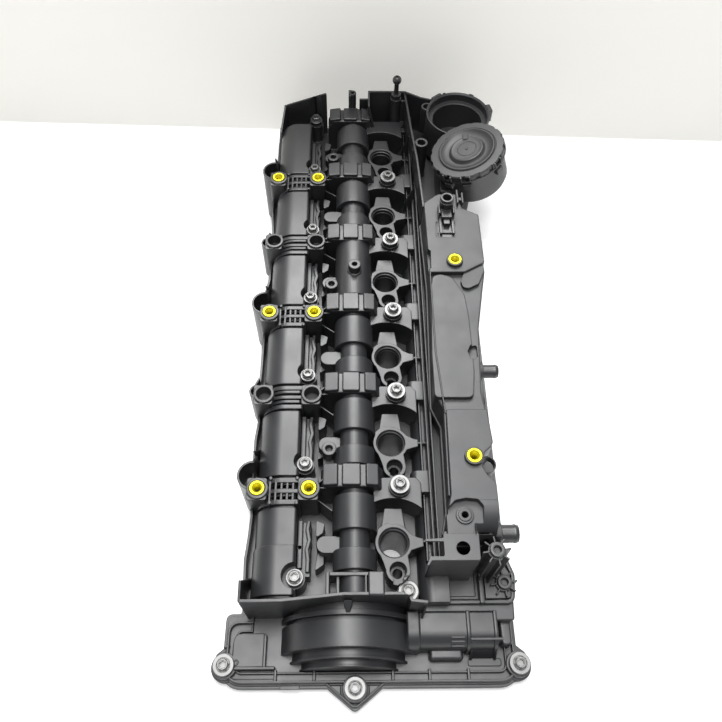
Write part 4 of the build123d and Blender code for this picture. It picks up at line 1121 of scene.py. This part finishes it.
def lid_cuts():
    """The sunken pad, the rounded front corner, the recesses and the holes."""
    top = lid_z + 15
    pad = [(40, -9), (62.5, -9), (62.5, 3.6), (69.8, 4.6), (70.4, 17.2), (66.2, 22.6), (56.5, 23.6)]
    pad += [(47.6, 21.8), (41.4, 15.6), (40, 10)]
    slope = arc(22, 77.5, 27.4, 90, 170, 16) + [(-12, 77.5), (-12, top), (22, top)]
    notch = [(70.2, 163), (73.2, 169.8), (80, 173), (80, 160), (75.6, 156.4), (72.6, 154)]
    seat = [(49.9, 296.6), (68.9, 296.8), (70.4, 317), (51.0, 317)]
    cuts = [
        slab(pad, [0, 0, 1, 1.5, 3, 3, 4, 4, 3, 0], 4, 98.6, top, 0),
        profile_x(slope, 62.6, 96, 0),
        slab([(38, 284), (43.4, 279), (42.6, 257), (38, 257)], 0.6, 2, 97, top, 0),
        slab(notch, 2.4, 4, 95.5, top, 0),
        slab(seat, 1, 3, lid_z - 0.8, top, 0),
        slab(rect(52, 64, 299, 303), 0.6, 2, lid_z - 1.8, top, 0),
    ]
    cuts += [disc(x, y, insert_hole_r, separator_insert_z - 13, top, 32) for x, y in separator_spots]
    for y, r in nipple_spots:
        cuts.append(along_x(disc(0, 0, r + 1.05, 0, 20, 32), y, nipple_z, nipple_root_x - 4))
    return cuts


def lid():
    """The welded upper half of the separator."""
    hollow = prism(grown(separator_plan, -wall), weld_z - 1, 92, 0)
    posts = [cylinder(x, y, 9.5, separator_insert_z - 16, 95, 0, 24) for x, y in separator_spots]
    details = [
        tube(*pad_ring_xy, 7.2, pad_ring_bore_r, 97, 100.4, 0.4),
        tube(*pad_ring_xy, 5.4, pad_ring_bore_r, 97, 101.2, 0.4),
        tube(78.5, 56, 7.6, 6.4, 88, 96, 0.4, 32),
        strip([(43.4, 26), (45.0, 102)], 1.6, 96, 103.4, 0.5),
        block(73.5, 75.3, 338, 356, 100, 111, 0.4),
        block(78.6, 80.4, 338, 352, 96, 111, 0.4),
        block(73.5, 80.4, 343, 347, 100, 109, 0.4),
    ]
    steps = [("UNION", lid_volumes()), ("DIFFERENCE", [hollow]), ("UNION", posts + nipple_collars())]
    steps += [("DIFFERENCE", lid_cuts()), ("UNION", details)]
    steps.append(("DIFFERENCE", [disc(*pad_ring_xy, pad_ring_bore_r, 92, 120, 24)]))
    return combined("lid", steps)


def pressure_port():
    """The clipped hose stub on the rear of the lid."""
    x, y = port_xy
    z = lid_z - 0.8
    forms = [
        cylinder(x, y, 5.4, z, z + 17, 0.5, 36),
        tube(x, y, 6.6, 4.2, z + 9, z + 20.5, 0.7),
        tube(x, y, 7.2, 4.2, z + 14.4, z + 16.6),
        block(x - 5.6, x + 5.6, y - 16, y - 3, z, z + 9, 1.2, 3),
        block(x - 3.2, x + 3.2, y - 22, y - 12, z, z + 6, 0.8),
    ]
    for side in (-1, 1):
        rail, post = x + side * 6.2, x + side * 7.2
        forms.append(block(rail - 1.3, rail + 1.3, y - 33, y - 10, z, z + 4.4, 0.5))
        forms.append(block(post - 1.0, post + 1.0, y - 12, y + 2, z, z + 11, 0.5))
    forms.append(block(x - 6, x + 6, y - 31, y - 28.6, z, z + 2.6, 0.4))
    forms.append(block(x - 8.6, x + 8.6, y - 35.2, y - 12, z, z + 0.7, 0.2))
    return combined("port", [("UNION", forms), ("DIFFERENCE", [disc(x, y, 4.2, z + 4, z + 30, 36)])])


def nipples():
    """The two hose nipples on the separator's right side."""
    forms = []
    for y, r in nipple_spots:
        bore = r - 1.6
        profile = [(bore, 0), (r + 1, 0), (r + 1, 9.4), (r + 0.5, 10), (r, 10.2), (r, 20.6)]
        profile += [(r + 0.35, 21.6), (r + 0.35, 22.6), (r - 0.5, 25), (bore + 0.4, 25), (bore, 24.6)]
        forms.append(along_x(lathe(0, 0, profile, 44), y, nipple_z, nipple_root_x))
    return joined(forms)


def ball_stud():
    """The ball stud that the engine's cover clips to, with a hexagon collar and a recessed top."""
    x, y = stud_xy
    r = 5.2
    profile = [(0, 84), (3.2, 84), (3.2, 101), (2.7, 102), (2.7, 114.8)]
    turns = [math.radians(a) for a in range(-56, 66, 10)]
    profile += [(r * math.cos(a), 120 + r * math.sin(a)) for a in turns]
    profile += [(1.6, 124.5), (1.6, 122.4), (0, 122.4)]
    collar = prism(hexagon(x, y, 6.1, 12), 96, 101.6)
    return combined("stud", [("UNION", [lathe(x, y, profile), collar])])


def housing():
    """The regulator's tilted bowl and the open cup for the air duct, as one moulding."""
    body = [cylinder(socket_x, socket_y, 36.4, 57, socket_z, 0.8, 72)]
    lugs = ((14, 40.4, 6.0, 15), (128, 38.8, 7.0, 7), (112, 37.6, 2.0, 5), (60, 37.4, 3.0, 6))
    for turn, reach, half, drop in lugs:
        lug = block(34.5, reach, -half, half, socket_z - drop, socket_z + 0.8, 1.2, 3)
        body.append(turned(spun(lug, turn), Matrix.Translation((socket_x, socket_y, 0))))
    body.append(tube(52.5, 497, 6.4, 4.2, 70, socket_z - 3, 0.6, 28))
    body += [block(60, 96, 454, 510, 50, 62, 1.0), block(62, 96, 380, 458, 50, 84, 1.5, 3)]
    bowl = lathe(0, 0, [(0, -46), (31, -46), (35, -44), (37, -40), (37, -5), (0, -5)], 72)
    rim = lathe(0, 0, [(0, -9.5), (39.6, -9.5), (40.4, -8.7), (40.4, -7.1), (0, -7.1)], 72)
    clear = disc(0, 0, 41.5, -9.0, 40, 56)
    core = disc(0, 0, 36, -45, 40, 56)
    inner = lathe(0, 0, [(0, -42), (24, -42), (24, -24), (34, -24), (34, 1), (0, 1)], 64)
    outlet = lathe(0, 0, [(5.5, -43), (8, -43), (8, -16.3), (5.5, -16.3)], 28)
    ribs = [spun(block(36, 41.6, -4.6, 4.6, -17, -11, 0.6), turn) for turn in window_turns]
    for mesh in [bowl, rim, clear, core, inner, outlet] + ribs:
        mesh.transform(regulator_place)
    socket = [(0, 60), (28, 60), (28, 93.4), (28.6, 94), (33.5, 94), (33.5, 102.4), (35.2, 104)]
    socket += [(35.2, 107), (0, 107)]
    steps = [("UNION", body), ("DIFFERENCE", [core, lathe(socket_x, socket_y, socket, 72), clear])]
    steps += [("UNION", [bowl, rim] + ribs), ("DIFFERENCE", [inner]), ("UNION", [outlet])]
    return combined("housing", steps)


def cap():
    """The regulator's cap: notched rim, grooved ring, dished top and raised middle."""
    profile = [(0, -3), (37.4, -3), (37.4, -7), (39.2, -7), (40, -6.2), (40, -1.2), (39.0, 0), (31.6, 0)]
    profile += [(31.2, -0.7), (30.5, -0.7), (30.1, 0.4), (29.4, 1.3), (28.4, 1.3), (27.4, 0.4), (25.4, -1.2)]
    profile += [(22.4, -2.3), (19.8, -2.3), (18.2, -0.9), (17.4, 1.0), (16.2, 1.5), (15.2, 1.3), (14.4, 0.9)]
    forms = [
        lathe(0, 0, profile + [(0, 0.9)], 96),
        block(-3.0, 3.0, 13.8, 22.4, -2.6, 2.1, 0.6),
        cylinder(0, 0, 1.5, 0, 1.7, 0.4, 20),
    ]
    cuts = [lathe(0, 0, [(9.6, 0.55), (10.4, 0.55), (10.4, 2.6), (9.6, 2.6)], 40)]
    cuts += [spun(block(38.4, 42, -2.6, 2.6, -8, 1, 0), 11 + 22.5 * i) for i in range(16)]
    cuts += [spun(block(36.4, 44, -3.6, 3.6, -8, -1.6, 0), turn) for turn in window_turns]
    legs = []
    for turn in window_turns:
        legs += [spun(block(38.0, 41.2, v - 0.8, v + 0.8, -7, -0.4, 0.3), turn) for v in (-4.6, 4.6)]
    steps = [("UNION", forms), ("DIFFERENCE", cuts), ("UNION", legs)]
    return turned(combined("cap", steps), regulator_place)


def camera():
    """The camera at the photograph's place."""
    pitch_down = math.radians(59.176)
    yaw = math.radians(2.051)
    roll = math.radians(1.760)
    level = math.cos(pitch_down)
    ahead = Vector((math.sin(yaw) * level, math.cos(yaw) * level, -math.sin(pitch_down)))
    side = Vector((math.cos(yaw), -math.sin(yaw), 0))
    above = side.cross(ahead)
    right = math.cos(roll) * side + math.sin(roll) * above
    up = -math.sin(roll) * side + math.cos(roll) * above
    data = bpy.data.cameras.new("camera")
    sensor = 36.0
    photo_width, photo_focal = 722, 700
    data.sensor_width = sensor
    data.lens = sensor * photo_focal / photo_width
    data.clip_start = 0.05
    data.clip_end = 20.0
    cam = bpy.data.objects.new("camera", data)
    bpy.context.scene.collection.objects.link(cam)
    place = Vector((-38.5, -169.7, 644.0)) * MM
    cam.matrix_world = Matrix.Translation(place) @ Matrix((right, up, -ahead)).transposed().to_4x4()
    bpy.context.scene.camera = cam


def looked_at(tree):
    """One for rays that show a surface: those of the camera, of reflections and through glass."""
    rays = tree.nodes.new("ShaderNodeLightPath")
    socket = rays.outputs["Is Camera Ray"]
    for kind in ("Is Glossy Ray", "Is Transmission Ray"):
        most = wired(tree, "ShaderNodeMath", socket, rays.outputs[kind])
        most.operation = "MAXIMUM"
        socket = most.outputs[0]
    return socket


def backdrop_material(name, color, seen):
    """A pale matte surface, partly lit by itself where it is seen, and clear from behind."""
    material = bpy.data.materials.new(name)
    material.use_nodes = True
    tree = material.node_tree
    tree.nodes.clear()
    diffuse = node(tree, "ShaderNodeBsdfDiffuse", Color=(*color, 1))
    black = node(tree, "ShaderNodeEmission", Strength=0.0)
    glow = node(tree, "ShaderNodeEmission", Color=(*color, 1), Strength=seen)
    clear = node(tree, "ShaderNodeBsdfTransparent")
    shown = wired(tree, "ShaderNodeMixShader", looked_at(tree), black.outputs[0], glow.outputs[0])
    front = wired(tree, "ShaderNodeAddShader", diffuse.outputs[0], shown.outputs[0])
    behind = tree.nodes.new("ShaderNodeNewGeometry").outputs["Backfacing"]
    both = wired(tree, "ShaderNodeMixShader", behind, front.outputs[0], clear.outputs[0])
    wired(tree, "ShaderNodeOutputMaterial", both.outputs[0])
    return material


def plane(name, corners, material):
    """A flat backdrop."""
    mesh = bpy.data.meshes.new(name)
    mesh.from_pydata([tuple(c * MM for c in corner) for corner in corners], [], [[0, 1, 2, 3]])
    mesh.materials.append(material)
    obj = bpy.data.objects.new(name, mesh)
    bpy.context.scene.collection.objects.link(obj)


def area_light(name, place, target, size, power):
    """A soft rectangular lamp aimed at a point."""
    data = bpy.data.lights.new(name, "AREA")
    data.shape = "RECTANGLE"
    data.size, data.size_y = size
    data.energy = power
    lamp = bpy.data.objects.new(name, data)
    bpy.context.scene.collection.objects.link(lamp)
    lamp.location = place
    lamp.rotation_euler = (Vector(target) - Vector(place)).to_track_quat("-Z", "Y").to_euler()


def studio():
    """Pale floor and wall, a soft world and three soft lamps: behind, above and in front."""
    floor = backdrop_material("floor_white", (0.86, 0.86, 0.86), 0.4)
    back = backdrop_material("wall_grey", (0.8, 0.79, 0.75), 0.4)
    low = -0.5
    high = 320.0
    far = 2500.0
    (x0, y0), (x1, y1) = (-501.8, 586.2), (460.2, 556.0)
    foot_slope = (y1 - y0) / (x1 - x0)
    left, right = [(x, y0 + (x - x0) * foot_slope) for x in (-far, far)]
    plane("floor", [(-far, -far, low), (far, -far, low), (far, far, low), (-far, far, low)], floor)
    plane("wall", [(*left, low), (*right, low), (*right, high), (*left, high)], back)
    world = bpy.data.worlds.new("studio")
    bpy.context.scene.world = world
    world.use_nodes = True
    tree = world.node_tree
    tree.nodes.clear()
    soft = node(tree, "ShaderNodeBackground", Color=(0.93, 0.96, 1.0, 1), Strength=0.14)
    room = node(tree, "ShaderNodeBackground", Color=(0.44, 0.45, 0.47, 1), Strength=1.0)
    mix = wired(tree, "ShaderNodeMixShader", looked_at(tree), soft.outputs[0], room.outputs[0])
    wired(tree, "ShaderNodeOutputWorld", mix.outputs[0])
    area_light("key", (-0.1, 1.35, 1.75), (0, 0.2, 0), (1.3, 0.95), 48.0)
    area_light("top", (-0.05, 0.24, 2.0), (-0.05, 0.0, 0), (0.9, 0.5), 24.0)
    area_light("front", (-0.05, -0.5, 1.9), (-0.05, 0.1, 0), (1.2, 0.36), 11.0)


finished("cover_body_skin", cover(), "cover_plastic", ["cover_body"])
fasteners()
finished("separator_lid_skin", lid(), "lid_plastic", ["separator_lid"])
finished("pressure_port_skin", pressure_port(), "nipple_plastic", ["pressure_port"])
finished("vent_nipples_skin", nipples(), "nipple_plastic", ["vent_nipples"])
finished("ball_stud_skin", ball_stud(), "nipple_plastic", ["ball_stud"])
finished("breather_housing_skin", housing(), "lid_plastic", ["breather_housing"])
finished("regulator_cap_skin", cap(), "cap_plastic", ["regulator_cap"])
camera()
studio()
bpy.context.scene.view_settings.view_transform = "Standard"
